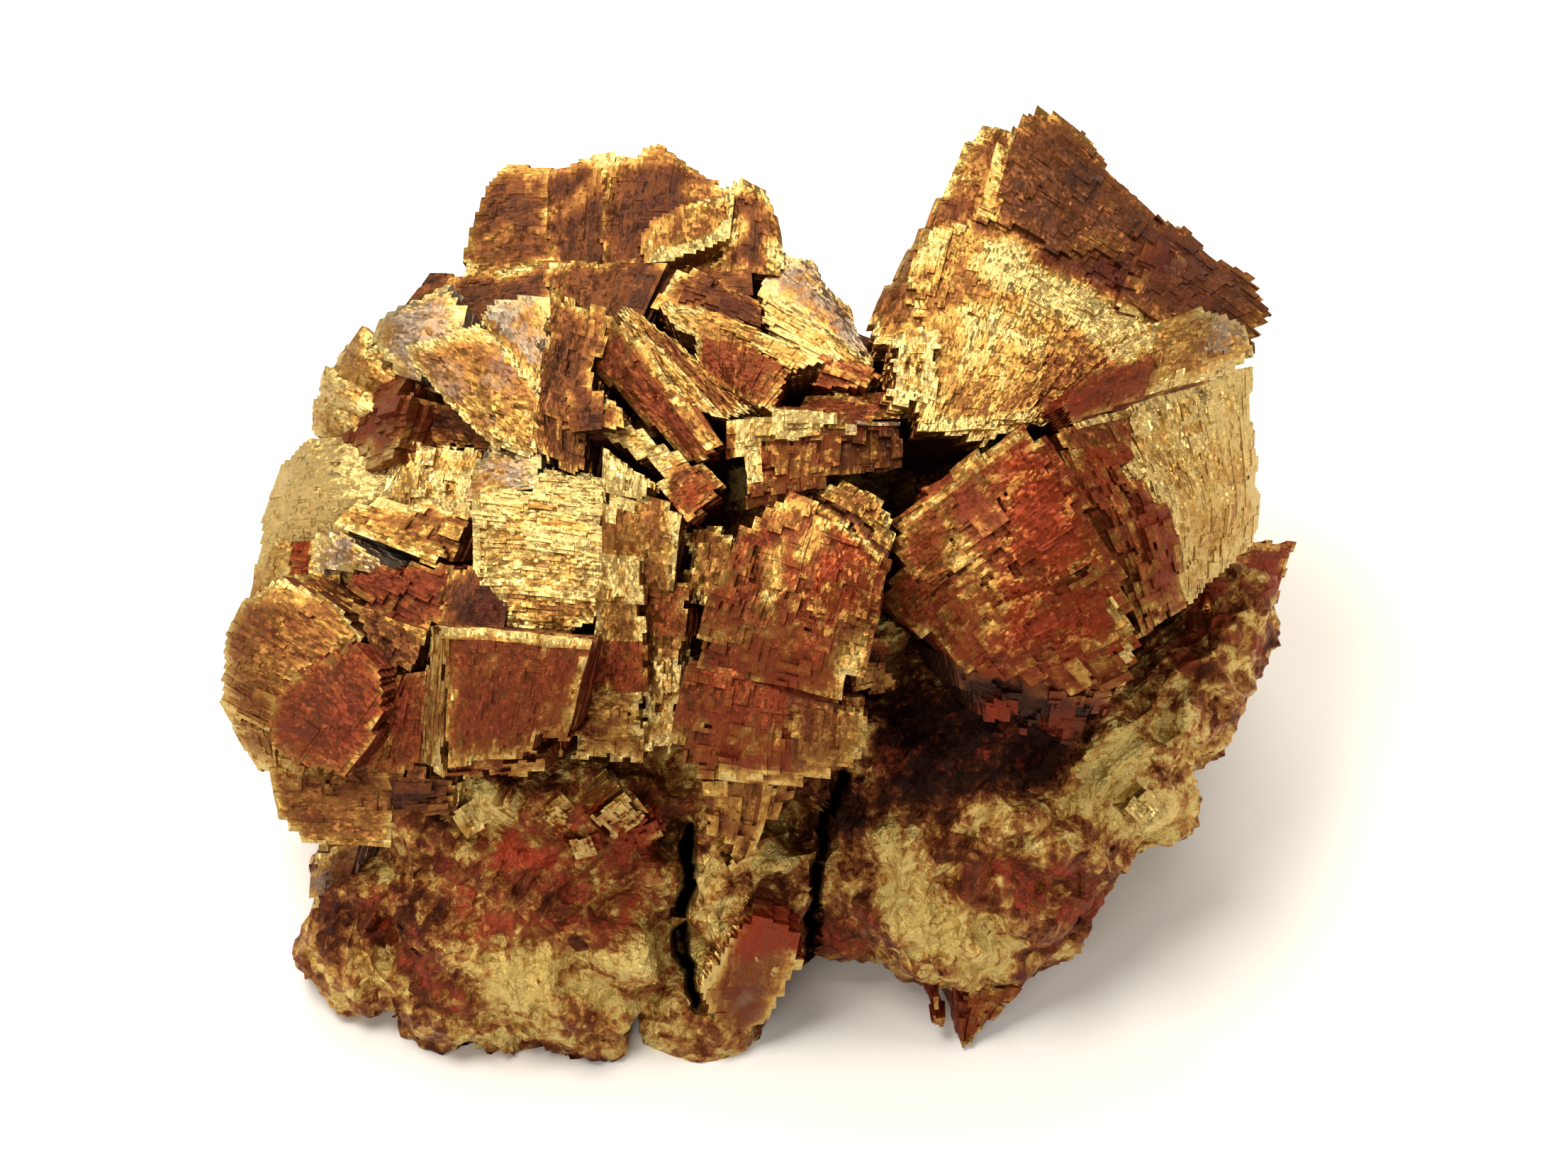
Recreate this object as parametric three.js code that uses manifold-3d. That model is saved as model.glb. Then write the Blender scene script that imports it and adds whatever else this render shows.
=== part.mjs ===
// A pyrite cluster about 80 mm wide: a rosette of stepped, bladed crystals that fan out from one root
// over a lump of massive pyrite, broken flat underneath so that it rests with the rosette facing forward
// and up. It grew as one piece, so every crystal and every lump is joined into a single solid.
//
// Millimetres, +Z up, origin in the resting face. The rosette is drawn in a face frame of its own: u to
// the right, v up the face, w out of the face. The last step leans that frame back and lifts it onto the
// resting plane.
import * as THREE from "three";
import Module from "manifold-3d";
import { mergeVertices } from "three/addons/utils/BufferGeometryUtils.js";

const wasm = await Module();
wasm.setup();

// ---- driving dimensions -----------------------------------------------------------------------------
const LEAN_DEG = 40; // how far the face is tipped up from lying flat
const FACE_CENTRE = [2, -9, 32]; // where the face frame's origin stands above the resting plane
const ROOT_PULL = 0.35; // a crystal's root lies this share of its face's offset out from the middle
const ROOT_W = -18; // and this far below the face frame's origin
const REACH = 0.66; // how far a crystal's back runs towards its root
const CRACK_WIDTH = 0.9;
const CRACK_DEPTH = 7;
const SLIVER = 0.25; // edges and steps smaller than this are smoothed away

// ---- the crystals of the rosette --------------------------------------------------------------------
// Each face is given by its corners in the order bottom left, bottom right, top right, top left, as
// u, v, w. It is split into bars that run up the face or across it. Their ends are set in by up to `jog`,
// and they stand proud by up to `lift`, which makes the ledges and the stairs at the face's rim. The
// middle of the face is crowned by `bulge`.
const CRYSTALS = [
  // right front: the three slabs nearest to the eye
  {
    name: "front_slab_left",
    face: [[8.2, -3.2, 7], [15.6, -8.6, 10], [17.4, 10.6, 9], [8.6, 5.8, 6.5]],
    run: "across", bars: 4, jog: 1.6, lift: 0.9, bulge: 0.6,
  },
  {
    name: "front_slab_upper",
    face: [[14, -0.6, 13], [23.8, 1.6, 10.5], [20.3, 9, 7.5], [13.6, 9.9, 10.5]],
    run: "up", bars: 2, jog: 0.8, lift: 0.5, bulge: 0.4,
  },
  {
    name: "front_slab_lower",
    face: [[14.6, -8.6, 11], [24, -7.4, 7], [24.7, 0.6, 9.5], [14.4, 0.4, 12.6]],
    run: "across", bars: 3, jog: 0.9, lift: 0.6, bulge: 0.7,
  },
  {
    name: "front_slab_foot",
    face: [[15, -10.6, 4.5], [21.8, -10.8, 3], [23, -6, 5], [13.6, -6.4, 7]],
    run: "across", bars: 2, jog: 1, lift: 0.5, bulge: 0,
  },
  // right: the outer blade, the red terrace on it and the sliver over it
  {
    name: "outer_blade",
    face: [[26.5, -2.6, 1.5], [32.8, 1, -6], [34.6, 16.2, -4.5], [20.8, 12.4, 7.5]],
    run: "across", bars: 3, jog: 0.7, lift: 0.5, bulge: 1.2,
  },
  {
    name: "outer_blade_edge",
    face: [[30.5, 0, -5.2], [34.4, 3.8, -8], [34.8, 12.5, -7.5], [31.4, 13.5, -3.6]],
    run: "up", bars: 1, jog: 0.8, lift: 0.5, bulge: 0.3,
  },
  {
    name: "red_terrace",
    face: [[24.6, -4.2, 4.8], [29.8, -2.6, 1.6], [25.4, 9.8, 5.6], [20, 9, 8]],
    run: "across", bars: 2, jog: 0.6, lift: 0.4, bulge: 0.6,
  },
  {
    name: "sliver",
    face: [[20.2, 12, 9], [34.2, 15.8, -2.5], [33, 19.6, -4], [22.4, 16.4, 6.2]],
    run: "across", bars: 2, jog: 0.7, lift: 0.6, bulge: 1,
  },
  // upper right: the great blade, which widens upwards
  {
    name: "great_blade_left",
    face: [[9.6, 11.4, 6.5], [15.2, 11.8, 7.2], [26.8, 27.2, -4.8], [18, 35, -8]],
    run: "up", bars: 3, jog: 1.2, lift: 0.7, bulge: 1.6,
  },
  {
    name: "great_blade_right",
    face: [[15, 11.8, 7.2], [20.8, 12.3, 6.4], [35.6, 20, -6], [26.6, 27.2, -5]],
    run: "up", bars: 3, jog: 0.9, lift: 0.7, bulge: 1.4,
  },
  {
    name: "great_blade_flank",
    face: [[6.1, 16.6, 1], [12, 14, 3], [19, 33.4, -8.4], [14.6, 34.8, -10]],
    run: "up", bars: 2, jog: 0.6, lift: 0.4, bulge: 1.6,
  },
  {
    name: "great_blade_foot",
    face: [[7.5, 13.3, 3.6], [11, 12.4, 5], [11.4, 19.2, 3.2], [8, 18.4, 2]],
    run: "up", bars: 1, jog: 0.7, lift: 0.5, bulge: 0,
  },
  {
    name: "great_blade_shoulder",
    face: [[24, 19.8, 1.6], [34.8, 17.2, -4], [34.9, 22, -6.6], [26.8, 26.9, -2.6]],
    run: "up", bars: 2, jog: 0.6, lift: 0.4, bulge: 0.5,
  },
  // centre
  {
    name: "centre_block",
    face: [[-6, -4.6, 7.5], [5.8, -7.8, 11], [6.8, 2.4, 12], [-1.6, 6.3, 8]],
    run: "up", bars: 4, jog: 1, lift: 1, bulge: 1.2,
  },
  {
    name: "centre_block_foot",
    face: [[-8, -12.6, 6], [4.6, -13.8, 7.5], [6.2, -6.8, 9], [-6.4, -4.8, 7]],
    run: "across", bars: 3, jog: 0.8, lift: 0.5, bulge: 1.8,
  },
  {
    name: "centre_toe",
    face: [[-4.4, -18.4, 2.5], [-1.8, -18.6, 2.5], [0.6, -13.6, 5], [-5.9, -13.8, 4.5]],
    run: "up", bars: 1, jog: 0.8, lift: 0.4, bulge: 0,
  },
  {
    name: "centre_cheek",
    face: [[4.4, -7.8, 6.5], [7.5, -7.2, 5.5], [7.8, -3.4, 6], [4.6, -3, 8]],
    run: "across", bars: 1, jog: 0.6, lift: 0.5, bulge: 0,
  },
  {
    name: "centre_wedge",
    face: [[2.4, 3.2, 7], [7.2, 1, 8], [8.3, 5, 6], [4.6, 7.6, 4.5]],
    run: "up", bars: 2, jog: 0.5, lift: 0.5, bulge: 0.3,
  },
  {
    name: "bridge_block",
    face: [[-3.2, 5.2, 6.5], [8.4, 7, 2.5], [8.8, 12.2, 3.6], [-3.8, 12.4, 7.5]],
    run: "up", bars: 3, jog: 0.6, lift: 0.7, bulge: 0.3,
    root: [4, 15, -12],
  },
  // left of the centre: columns between the cracks
  {
    name: "column_red",
    face: [[-12.8, 0.4, 2.6], [-8, 0.2, 3.8], [-7.4, 4.8, 4], [-12.6, 6.7, 2.6]],
    run: "up", bars: 2, jog: 0.4, lift: 0.4, bulge: 0.4,
  },
  {
    name: "column_gold",
    face: [[-14.3, -7.8, 1.4], [-10.4, -7.2, 3], [-9.9, 2.1, 4.2], [-13.5, 2.5, 2.8]],
    run: "across", bars: 3, jog: 0.5, lift: 0.5, bulge: 0.3,
  },
  {
    name: "column_inner",
    face: [[-10.4, -12, 0.6], [-8.2, -12, 1.6], [-5.6, 0.3, 3.4], [-9.9, 0.8, 2.4]],
    run: "up", bars: 2, jog: 0.8, lift: 0.5, bulge: 0.3,
  },
  {
    name: "column_dark",
    face: [[-7.2, -1, 1], [-4.7, -1.4, 2], [-3.2, 3.9, 2.4], [-6.8, 4.3, 1.4]],
    run: "up", bars: 1, jog: 0.5, lift: 0.4, bulge: 0.2,
  },
  {
    name: "column_base",
    face: [[-15.4, -12, -1.6], [-10.4, -12.3, 0.6], [-10.4, -7, 1.8], [-15, -7, 0.2]],
    run: "across", bars: 2, jog: 0.6, lift: 0.4, bulge: 0,
  },
  // left: the bright plate and the square block under it
  {
    name: "bright_plate",
    face: [[-22, -3, -0.6], [-13.9, -3.8, 1.6], [-13, 5.3, 1.2], [-22.9, 7, -2.4]],
    run: "across", bars: 3, jog: 0.5, lift: 0.4, bulge: 0.8,
  },
  {
    name: "bright_plate_lip",
    face: [[-18.6, 5, -0.4], [-13, 4.4, 1.6], [-13.5, 7.9, 0.6], [-17.8, 8.4, -1.4]],
    run: "across", bars: 1, jog: 0.3, lift: 0.3, bulge: 0.2,
  },
  {
    name: "square_block",
    face: [[-25.4, -12.8, 2], [-16.2, -12.4, 3.4], [-13.9, -3.9, 5], [-24.9, -2.7, 3]],
    run: "up", bars: 2, jog: 0.4, lift: 0.35, bulge: 0.5,
  },
  {
    name: "square_block_bevel",
    face: [[-26.4, -12.4, 0], [-24.8, -13.4, 2], [-24.4, -2.8, 3], [-25.8, -2.6, 1]],
    run: "up", bars: 1, jog: 0.3, lift: 0.3, bulge: 0,
  },
  // far left
  {
    name: "left_block",
    face: [[-37, -11.4, -6], [-32, -13.6, -2], [-26.4, -7.4, -1], [-31.5, -4, -3.4]],
    run: "across", bars: 3, jog: 0.5, lift: 0.4, bulge: 0.3,
  },
  {
    name: "left_ridge",
    face: [[-42.4, -9, -10], [-37.6, -11.2, -6.4], [-31, -3.4, -3], [-37, 0.6, -8]],
    run: "across", bars: 3, jog: 0.9, lift: 0.8, bulge: 1,
  },
  {
    name: "left_corner",
    face: [[-38.8, -12.8, -9], [-35.4, -13.8, -6], [-34, -8, -4.6], [-42, -8.2, -10.4]],
    run: "across", bars: 1, jog: 0.4, lift: 0.3, bulge: 0.2,
  },
  {
    name: "left_inner_slats",
    face: [[-31, -12.8, -3.4], [-26, -13.6, -1.6], [-25.2, -5.4, -0.6], [-28, -6.6, -1.6]],
    run: "up", bars: 2, jog: 0.8, lift: 0.6, bulge: 0,
  },
  {
    name: "left_foot",
    face: [[-35.4, -18, -6.6], [-29, -18.7, -4.4], [-29, -13.2, -3.2], [-37.2, -13.4, -7]],
    run: "across", bars: 1, jog: 0.6, lift: 0.5, bulge: 0.4,
  },
  {
    name: "left_foot_inner",
    face: [[-29, -18.2, -4.6], [-24.5, -16.6, -2.6], [-23.8, -13.4, -0.8], [-29.5, -12.8, -3]],
    run: "across", bars: 1, jog: 0.6, lift: 0.5, bulge: 0.3,
  },
  {
    name: "left_splinter",
    face: [[-34.6, -24, -10.4], [-32, -23, -9.4], [-30.8, -19, -7.4], [-34, -19.2, -9]],
    run: "up", bars: 1, jog: 0.3, lift: 0.3, bulge: 0.2,
  },
  {
    name: "shard_dark",
    face: [[-32, 2.6, -6], [-24.4, 0.8, -3], [-23.2, 6, -3.4], [-30.6, 6.4, -6.4]],
    run: "across", bars: 3, jog: 1, lift: 0.9, bulge: 0,
  },
  {
    name: "shard_red",
    face: [[-31.4, -0.8, -5], [-25.8, -5.6, -1.4], [-23, 1.6, -2], [-29, 2.2, -4.6]],
    run: "across", bars: 2, jog: 0.8, lift: 0.7, bulge: 0,
  },
  {
    name: "shard_inner",
    face: [[-26, -2.8, -1.4], [-20, -2.8, 0], [-19.6, 1.8, -1], [-24.6, 1.8, -2.4]],
    run: "up", bars: 2, jog: 0.5, lift: 0.5, bulge: 0,
  },
  {
    name: "west_shoulder",
    face: [[-39.4, 3, -14], [-29.6, 3.4, -7], [-27.6, 10.4, -7], [-36.8, 10.4, -13]],
    run: "across", bars: 2, jog: 0.7, lift: 0.5, bulge: 1.4,
  },
  {
    name: "west_knob",
    face: [[-40.4, -2.2, -14.4], [-33, -2, -9], [-33.4, 3.6, -9.6], [-39.9, 3.4, -14]],
    run: "across", bars: 1, jog: 0.5, lift: 0.4, bulge: 0.8,
  },
  {
    name: "west_inner",
    face: [[-29, 5.6, -6.2], [-22.6, 5.8, -3.4], [-22.4, 10.2, -4.4], [-29, 10.4, -7]],
    run: "up", bars: 2, jog: 0.7, lift: 0.6, bulge: 0.4,
  },
  {
    name: "west_facet",
    face: [[-22.9, 6.6, -3], [-17.8, 7, -1], [-17.8, 9.9, -2.2], [-22, 10.4, -4.2]],
    run: "across", bars: 1, jog: 0.3, lift: 0.3, bulge: 0.2,
  },
  // upper left: leaves seen along their edges, and the ridges at the rim
  {
    name: "leaf_cream",
    face: [[-24.6, 13, -5.6], [-18, 9.7, -2], [-18, 15.2, -3], [-25.6, 18.6, -7]],
    run: "across", bars: 1, jog: 0.5, lift: 0.5, bulge: 0.7,
  },
  {
    name: "leaf_grey",
    face: [[-21.6, 18, -5.6], [-17.6, 14.6, -2.4], [-17.6, 21.6, -6], [-23, 21.6, -8]],
    run: "up", bars: 1, jog: 0.5, lift: 0.4, bulge: 0.6,
  },
  {
    name: "leaf_blue",
    face: [[-30.4, 17, -10.4], [-24.8, 16.2, -7], [-23.4, 22.8, -9.6], [-30, 21, -12]],
    run: "across", bars: 1, jog: 0.5, lift: 0.4, bulge: 0.8,
  },
  {
    name: "leaf_back",
    face: [[-26, 20, -10.6], [-17.4, 20, -8], [-17, 23.8, -10], [-25.6, 23.6, -12.6]],
    run: "across", bars: 1, jog: 0.4, lift: 0.4, bulge: 0.3,
  },
  {
    name: "rim_ridge_low",
    face: [[-35.4, 11, -13], [-28.2, 10.2, -8.6], [-28.6, 13.4, -9], [-35.4, 13.8, -14]],
    run: "across", bars: 1, jog: 0.4, lift: 0.3, bulge: 0.9,
  },
  {
    name: "rim_ridge_mid",
    face: [[-35.2, 13.6, -14], [-28.2, 12.8, -8], [-28.6, 16, -9.4], [-34.4, 16.8, -14.4]],
    run: "across", bars: 1, jog: 0.4, lift: 0.3, bulge: 1,
  },
  {
    name: "rim_ridge_top",
    face: [[-34.2, 16.4, -14], [-27.6, 15, -8], [-28, 18.6, -10.4], [-31.8, 19.6, -14]],
    run: "across", bars: 1, jog: 0.4, lift: 0.3, bulge: 0.9,
  },
  {
    name: "blade_edge_yellow",
    face: [[-2, 21.2, -3.4], [6.8, 15, 0.6], [6.4, 17.8, -2.4], [2.2, 24.8, -6]],
    run: "across", bars: 1, jog: 0.5, lift: 0.3, bulge: 0.5,
  },
  {
    name: "blade_rear",
    face: [[-9.6, 21.2, -4], [-1.2, 18.6, -0.8], [-0.4, 20.2, -2], [-7, 23.8, -6]],
    run: "across", bars: 1, jog: 0.6, lift: 0.4, bulge: 0.3,
  },
  {
    name: "blade_block",
    face: [[-6.4, 14.6, 1], [-0.5, 12.7, 4.4], [2.7, 16.4, 4], [-9.4, 20.9, -3]],
    run: "across", bars: 3, jog: 0.7, lift: 0.5, bulge: 0.5,
  },
  {
    name: "blade_grey",
    face: [[-7, 12.4, 1.4], [-3.6, 12.6, 3.6], [-9, 20.3, -2], [-12.6, 19.6, -4]],
    run: "up", bars: 2, jog: 0.5, lift: 0.4, bulge: 0.5,
  },
  {
    name: "blade_brown",
    face: [[-7.6, 8.9, 1.6], [-4.5, 10.6, 4.4], [-11.4, 19.5, -1.4], [-14.6, 16.8, -3.4]],
    run: "up", bars: 2, jog: 0.6, lift: 0.5, bulge: 0.6,
  },
  {
    name: "blade_stepped",
    face: [[-7.6, 4.4, 3], [-4.4, 7.8, 3.6], [-8.6, 14, 1.4], [-13.8, 11.2, -0.6]],
    run: "across", bars: 3, jog: 0.7, lift: 0.6, bulge: 0.3,
  },
  {
    name: "bright_chip",
    face: [[-13.2, 6.6, 2.4], [-9.7, 6.4, 4.2], [-9.4, 8.4, 4], [-13.3, 10.7, 1.6]],
    run: "up", bars: 1, jog: 0.3, lift: 0.3, bulge: 0.2,
  },
  {
    name: "pillar",
    face: [[-17.6, 9.7, -1.4], [-14.7, 8.2, 0.6], [-12.8, 20.4, -2.6], [-17.6, 21.5, -5]],
    run: "up", bars: 2, jog: 0.7, lift: 0.5, bulge: 0.3,
  },
  {
    name: "pillar_cube",
    face: [[-15.7, 11.3, 1.2], [-13.2, 11.5, 1.8], [-13, 14.4, 1.2], [-15.6, 14.3, 0.4]],
    run: "up", bars: 1, jog: 0.2, lift: 0.2, bulge: 0,
  },
  {
    name: "pillar_head",
    face: [[-17.8, 18, -5], [-11, 19.4, -3], [-8.4, 23.8, -6.4], [-17.6, 24, -8.4]],
    run: "up", bars: 2, jog: 0.6, lift: 0.5, bulge: 0.4,
  },
  // the rear blocks that stand above the left half
  {
    name: "rear_cube",
    face: [[-23.6, 23.2, -12], [-16.4, 22.8, -10], [-17, 31.4, -13], [-21.4, 31.6, -15]],
    run: "across", bars: 1, jog: 0.4, lift: 0.4, bulge: 0.6,
  },
  {
    name: "rear_column",
    face: [[-17, 22.4, -9.6], [-12.8, 22.4, -8.6], [-12.6, 32.2, -12.6], [-16.8, 31.6, -13.4]],
    run: "up", bars: 2, jog: 0.5, lift: 0.7, bulge: 0.3,
  },
  {
    name: "rear_block",
    face: [[-13.6, 22.8, -7.6], [-4.9, 24.6, -6.6], [-5, 29.6, -9.6], [-13.2, 31.5, -11.4]],
    run: "up", bars: 2, jog: 0.5, lift: 0.5, bulge: 1,
  },
  {
    name: "rear_peak",
    face: [[-12.4, 28, -11.6], [-5.4, 27.8, -10.6], [-6.4, 31, -12.6], [-9.9, 33.4, -13.6]],
    run: "across", bars: 1, jog: 0.3, lift: 0.3, bulge: 0.3,
  },
  {
    name: "rear_tooth",
    face: [[-5, 23, -6.6], [0.2, 22.6, -6.4], [-1, 28.4, -9], [-3.6, 30.4, -9.6]],
    run: "up", bars: 1, jog: 0.4, lift: 0.5, bulge: 0.4,
  },
  // flat faces and teeth along the lower rim
  {
    name: "flat_facet",
    face: [[-5, -33.8, -12.4], [-1.4, -31.8, -13.4], [2, -25.8, -7], [-5.8, -29, -6.4]],
    run: "up", bars: 1, jog: 0, lift: 0, bulge: 0.2,
  },
  {
    name: "rim_tooth",
    face: [[13.1, -34, -12.6], [13.9, -34, -12.8], [18.2, -28.8, -11.6], [12, -27.6, -10]],
    run: "up", bars: 1, jog: 0, lift: 0, bulge: 0.2,
  },
  {
    name: "rim_tooth_small",
    face: [[11, -32.2, -13.2], [11.7, -32.2, -13.2], [12.2, -27.6, -10.4], [9.8, -28, -10.6]],
    run: "up", bars: 1, jog: 0, lift: 0, bulge: 0.1,
  },
  {
    name: "east_block",
    face: [[30.8, -2.4, -8.4], [37, -1.2, -13], [38.4, 3.4, -14], [32.4, 4, -9.6]],
    run: "across", bars: 1, jog: 0.6, lift: 0.5, bulge: 0.4,
  },
  {
    name: "south_east_block",
    face: [[26.6, -19.4, -14], [30.8, -15.6, -16], [30.2, -13, -14.6], [25, -15.6, -10.6]],
    run: "across", bars: 1, jog: 0.6, lift: 0.4, bulge: 0.3,
  },
];

// ---- massive pyrite -----------------------------------------------------------------------------------
// The heart that every crystal roots in: one lump below, and one behind each fan. The notch between the
// fans goes right through to the back. Centres and half sizes are in the face frame.
const HEART = [
  { name: "heart", at: [-3, -5, -20], size: [32, 19, 17] },
  { name: "heart_left", at: [-14, 9, -20], size: [13, 14, 14] },
  { name: "heart_right", at: [20, 8, -19], size: [11, 13, 13] },
];

// The lumps of the lower third.
const LUMPS = [
  { name: "left_lobe", at: [-19.5, -22.2, -13.4], size: [13.2, 12.8, 10.5] },
  { name: "left_rim", at: [-30.6, -24.6, -15], size: [6.2, 6.8, 7.5] },
  { name: "left_heel", at: [-24, -29.6, -15], size: [5.8, 5.4, 5.8] },
  { name: "left_toe", at: [-15, -28.8, -13.6], size: [6.8, 5.6, 6] },
  { name: "middle_lobe", at: [-2.6, -22.4, -13], size: [7.4, 8.8, 9] },
  { name: "middle_toe", at: [-6.6, -31.2, -14], size: [5, 4.4, 4.8] },
  { name: "right_lobe", at: [12, -17.8, -13], size: [13, 12, 10.5] },
  { name: "right_toe", at: [14.4, -25.2, -14.2], size: [8, 6, 6.6] },
  { name: "right_flank", at: [23, -14, -12.6], size: [9, 8.6, 8] },
  { name: "right_knuckle", at: [29.8, -8, -12.6], size: [5.8, 5, 6.4] },
  { name: "east_lump", at: [32.8, -2.8, -13], size: [3.6, 5.6, 5.4] },
  { name: "shadow_floor", at: [10, -12, -9], size: [9.5, 6.5, 8] },
  { name: "saddle", at: [-17.5, -14.8, -7], size: [8.6, 4.6, 6] },
  { name: "saddle_left", at: [-25, -17.8, -8.8], size: [5.2, 4, 5.6] },
];

// Small cubes half sunk in the lumps: place, edge length, and turns about u and w in degrees.
const CUBES = [
  { at: [-13, -15.8, -1.8], edge: 3.6, turn: [35, 40] },
  { at: [-16.6, -16.6, -2.4], edge: 3, turn: [20, 15] },
  { at: [-20.4, -15.2, -1.8], edge: 2.8, turn: [30, 65] },
  { at: [-23, -17, -4.4], edge: 3, turn: [15, 30] },
  { at: [-10.6, -17.4, -4], edge: 2.8, turn: [40, 20] },
  { at: [26.4, -16.8, -6.6], edge: 4, turn: [25, 50] },
  { at: [31.8, -11.8, -9], edge: 3.4, turn: [35, 25] },
  { at: [18.6, -20.6, -6.4], edge: 3.4, turn: [20, 70] },
  { at: [-30.4, -26.6, -9.4], edge: 3.4, turn: [30, 55] },
  { at: [-21, -27.6, -6], edge: 3, turn: [25, 10] },
  { at: [-3.4, -20.6, -5], edge: 2.6, turn: [30, 35] },
  { at: [24.6, -21.4, -13], edge: 3.4, turn: [40, 60] },
];

// Lumps that close the back, in the part's own frame: x, y, z.
const REAR_LUMPS = [
  { name: "back_left", at: [-19, 12, 10], size: [15, 13, 15] },
  { name: "back_middle", at: [-2, 17, 7], size: [13, 9, 10] },
  { name: "back_right", at: [16, 13, 10], size: [16, 13, 15] },
];

// The fissures that part the lower lobes, as points down the face in u, v, w.
const CRACKS = [
  [[-7.7, -17.5, -4.5], [-7.1, -22, -5], [-7.5, -26, -7.5], [-6.7, -31, -11]],
  [[4.6, -13.6, -2], [3, -17.4, -3.4], [2.6, -21, -5], [1.8, -27.6, -9]],
];

// A lump's radius swells and dips in waves of these shares, along these directions (radians per mm).
const SWELLS = [
  { share: 0.06, wave: [0.55, 0.9, 0], phase: 1.3 },
  { share: 0.05, wave: [0, 0.8, -0.7], phase: 0.4 },
  { share: 0.07, wave: [2.3, -1.7, 2.9], phase: 0 },
];

// Rear blades: rows of slabs set on ellipses round the back, at these heights in the part's own frame.
// They run from one bearing to another (0 is straight back, 90 is the right side), and tip up.
const REAR = {
  centre: [0, 6, 14],
  rows: [
    { z: 31, radii: [29, 16], count: 4, from: -80, to: -18, up: 36, size: [15, 13] },
    { z: 29, radii: [27, 16], count: 3, from: 44, to: 96, up: 30, size: [15, 14] },
    { z: 17, radii: [32, 22], count: 8, from: -98, to: 98, up: 8, size: [14, 13] },
  ],
};

// ---- small helpers ----------------------------------------------------------------------------------
// The same throw of the dice on every run: a Lehmer generator seeded by the crystal's place in its list.
function dice(seed) {
  const MODULUS = 2147483647;
  let state = (seed * 7919 + 17) % MODULUS;
  return () => {
    state = (state * 16807) % MODULUS;
    return state / MODULUS;
  };
}

const vec = (p) => new THREE.Vector3(...p);
const mix = (a, b, t) => a.clone().lerp(b, t);

// A closed three.js geometry as a manifold solid, turned inside out first if its faces point in.
function solid(geometry) {
  geometry.deleteAttribute("normal");
  geometry.deleteAttribute("uv");
  const merged = mergeVertices(geometry, 1e-4);
  const vertProperties = new Float32Array(merged.attributes.position.array);
  const triVerts = new Uint32Array(merged.index.array);
  const made = new wasm.Manifold(new wasm.Mesh({ numProp: 3, vertProperties, triVerts }));
  if (made.volume() > 0) return made;
  triVerts.reverse();
  return new wasm.Manifold(new wasm.Mesh({ numProp: 3, vertProperties, triVerts }));
}

// Moves every vertex of a geometry by a function of its place.
function reshape(geometry, place) {
  const at = geometry.attributes.position;
  const p = new THREE.Vector3();
  for (let i = 0; i < at.count; i++) {
    p.copy(place(p.fromBufferAttribute(at, i)));
    at.setXYZ(i, p.x, p.y, p.z);
  }
  return geometry;
}

// ---- crystals ---------------------------------------------------------------------------------------
// A crystal with what follows from its corners: where it looks, where it roots, how wide and how tall.
function settled(crystal) {
  const [a, b, c, d] = crystal.face.map(vec);
  const middle = mix(mix(a, b, 0.5), mix(d, c, 0.5), 0.5);
  const rootPoint = crystal.root
    ? vec(crystal.root)
    : new THREE.Vector3(middle.x * ROOT_PULL, middle.y * ROOT_PULL, ROOT_W);
  return {
    ...crystal,
    rootPoint,
    normal: c.clone().sub(a).cross(d.clone().sub(b)).normalize(),
    width: (a.distanceTo(b) + d.distanceTo(c)) / 2,
    height: (a.distanceTo(d) + b.distanceTo(c)) / 2,
  };
}

// One bar of a crystal: the part s0..s1 across the face and t0..t1 up it, raised by lift, and running
// back towards the root. A strongly crowned bar has a bend in the middle.
function bar(crystal, [s0, s1], [t0, t1], lift) {
  const CROWNED = 0.9;
  const [a, b, c, d] = crystal.face.map(vec);
  const bends = crystal.bulge > CROWNED ? 2 : 1;
  const box = crystal.run === "up"
    ? new THREE.BoxGeometry(1, 1, 1, 1, bends, 1)
    : new THREE.BoxGeometry(1, 1, 1, bends, 1, 1);
  return reshape(box, (p) => {
    const s = s0 + (s1 - s0) * (p.x + 0.5);
    const t = t0 + (t1 - t0) * (p.y + 0.5);
    const crown = 16 * s * (1 - s) * t * (1 - t) * crystal.bulge;
    const front = mix(mix(a, b, s), mix(d, c, s), t).addScaledVector(crystal.normal, crown);
    const back = mix(front, crystal.rootPoint, REACH);
    return mix(back, front.addScaledVector(crystal.normal, lift), p.z + 0.5);
  });
}

// The bars of one crystal. Each starts a little inside its neighbour, so that they join cleanly.
function crystalSolids(plain, index) {
  const OVERLAP = 0.02;
  const roll = dice(index + 1);
  const crystal = settled(plain);
  const length = crystal.run === "up" ? crystal.height : crystal.width;
  return Array.from({ length: crystal.bars }, (_, i) => {
    const across = [i / crystal.bars - (i ? OVERLAP : 0), (i + 1) / crystal.bars];
    const along = [(roll() * crystal.jog) / length, 1 - (roll() * crystal.jog) / length];
    const lift = roll() * crystal.lift;
    const spans = crystal.run === "up" ? [across, along] : [along, across];
    return solid(bar(crystal, ...spans, lift));
  });
}

// ---- lumps ------------------------------------------------------------------------------------------
// A knobbly rounded mass: an icosahedron, finer on the big lumps, whose radius swells and dips.
function lump({ at, size }) {
  const BIG = 8;
  const centre = vec(at);
  const half = vec(size);
  const ball = new THREE.IcosahedronGeometry(1, Math.max(...size) > BIG ? 2 : 1);
  return solid(reshape(ball, (p) => {
    const place = p.clone().multiply(half).add(centre);
    const swell = SWELLS.reduce(
      (sum, { share, wave, phase }) => sum + share * Math.sin(place.dot(vec(wave)) + phase), 1);
    return p.clone().multiplyScalar(swell).multiply(half).add(centre);
  }));
}

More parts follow.
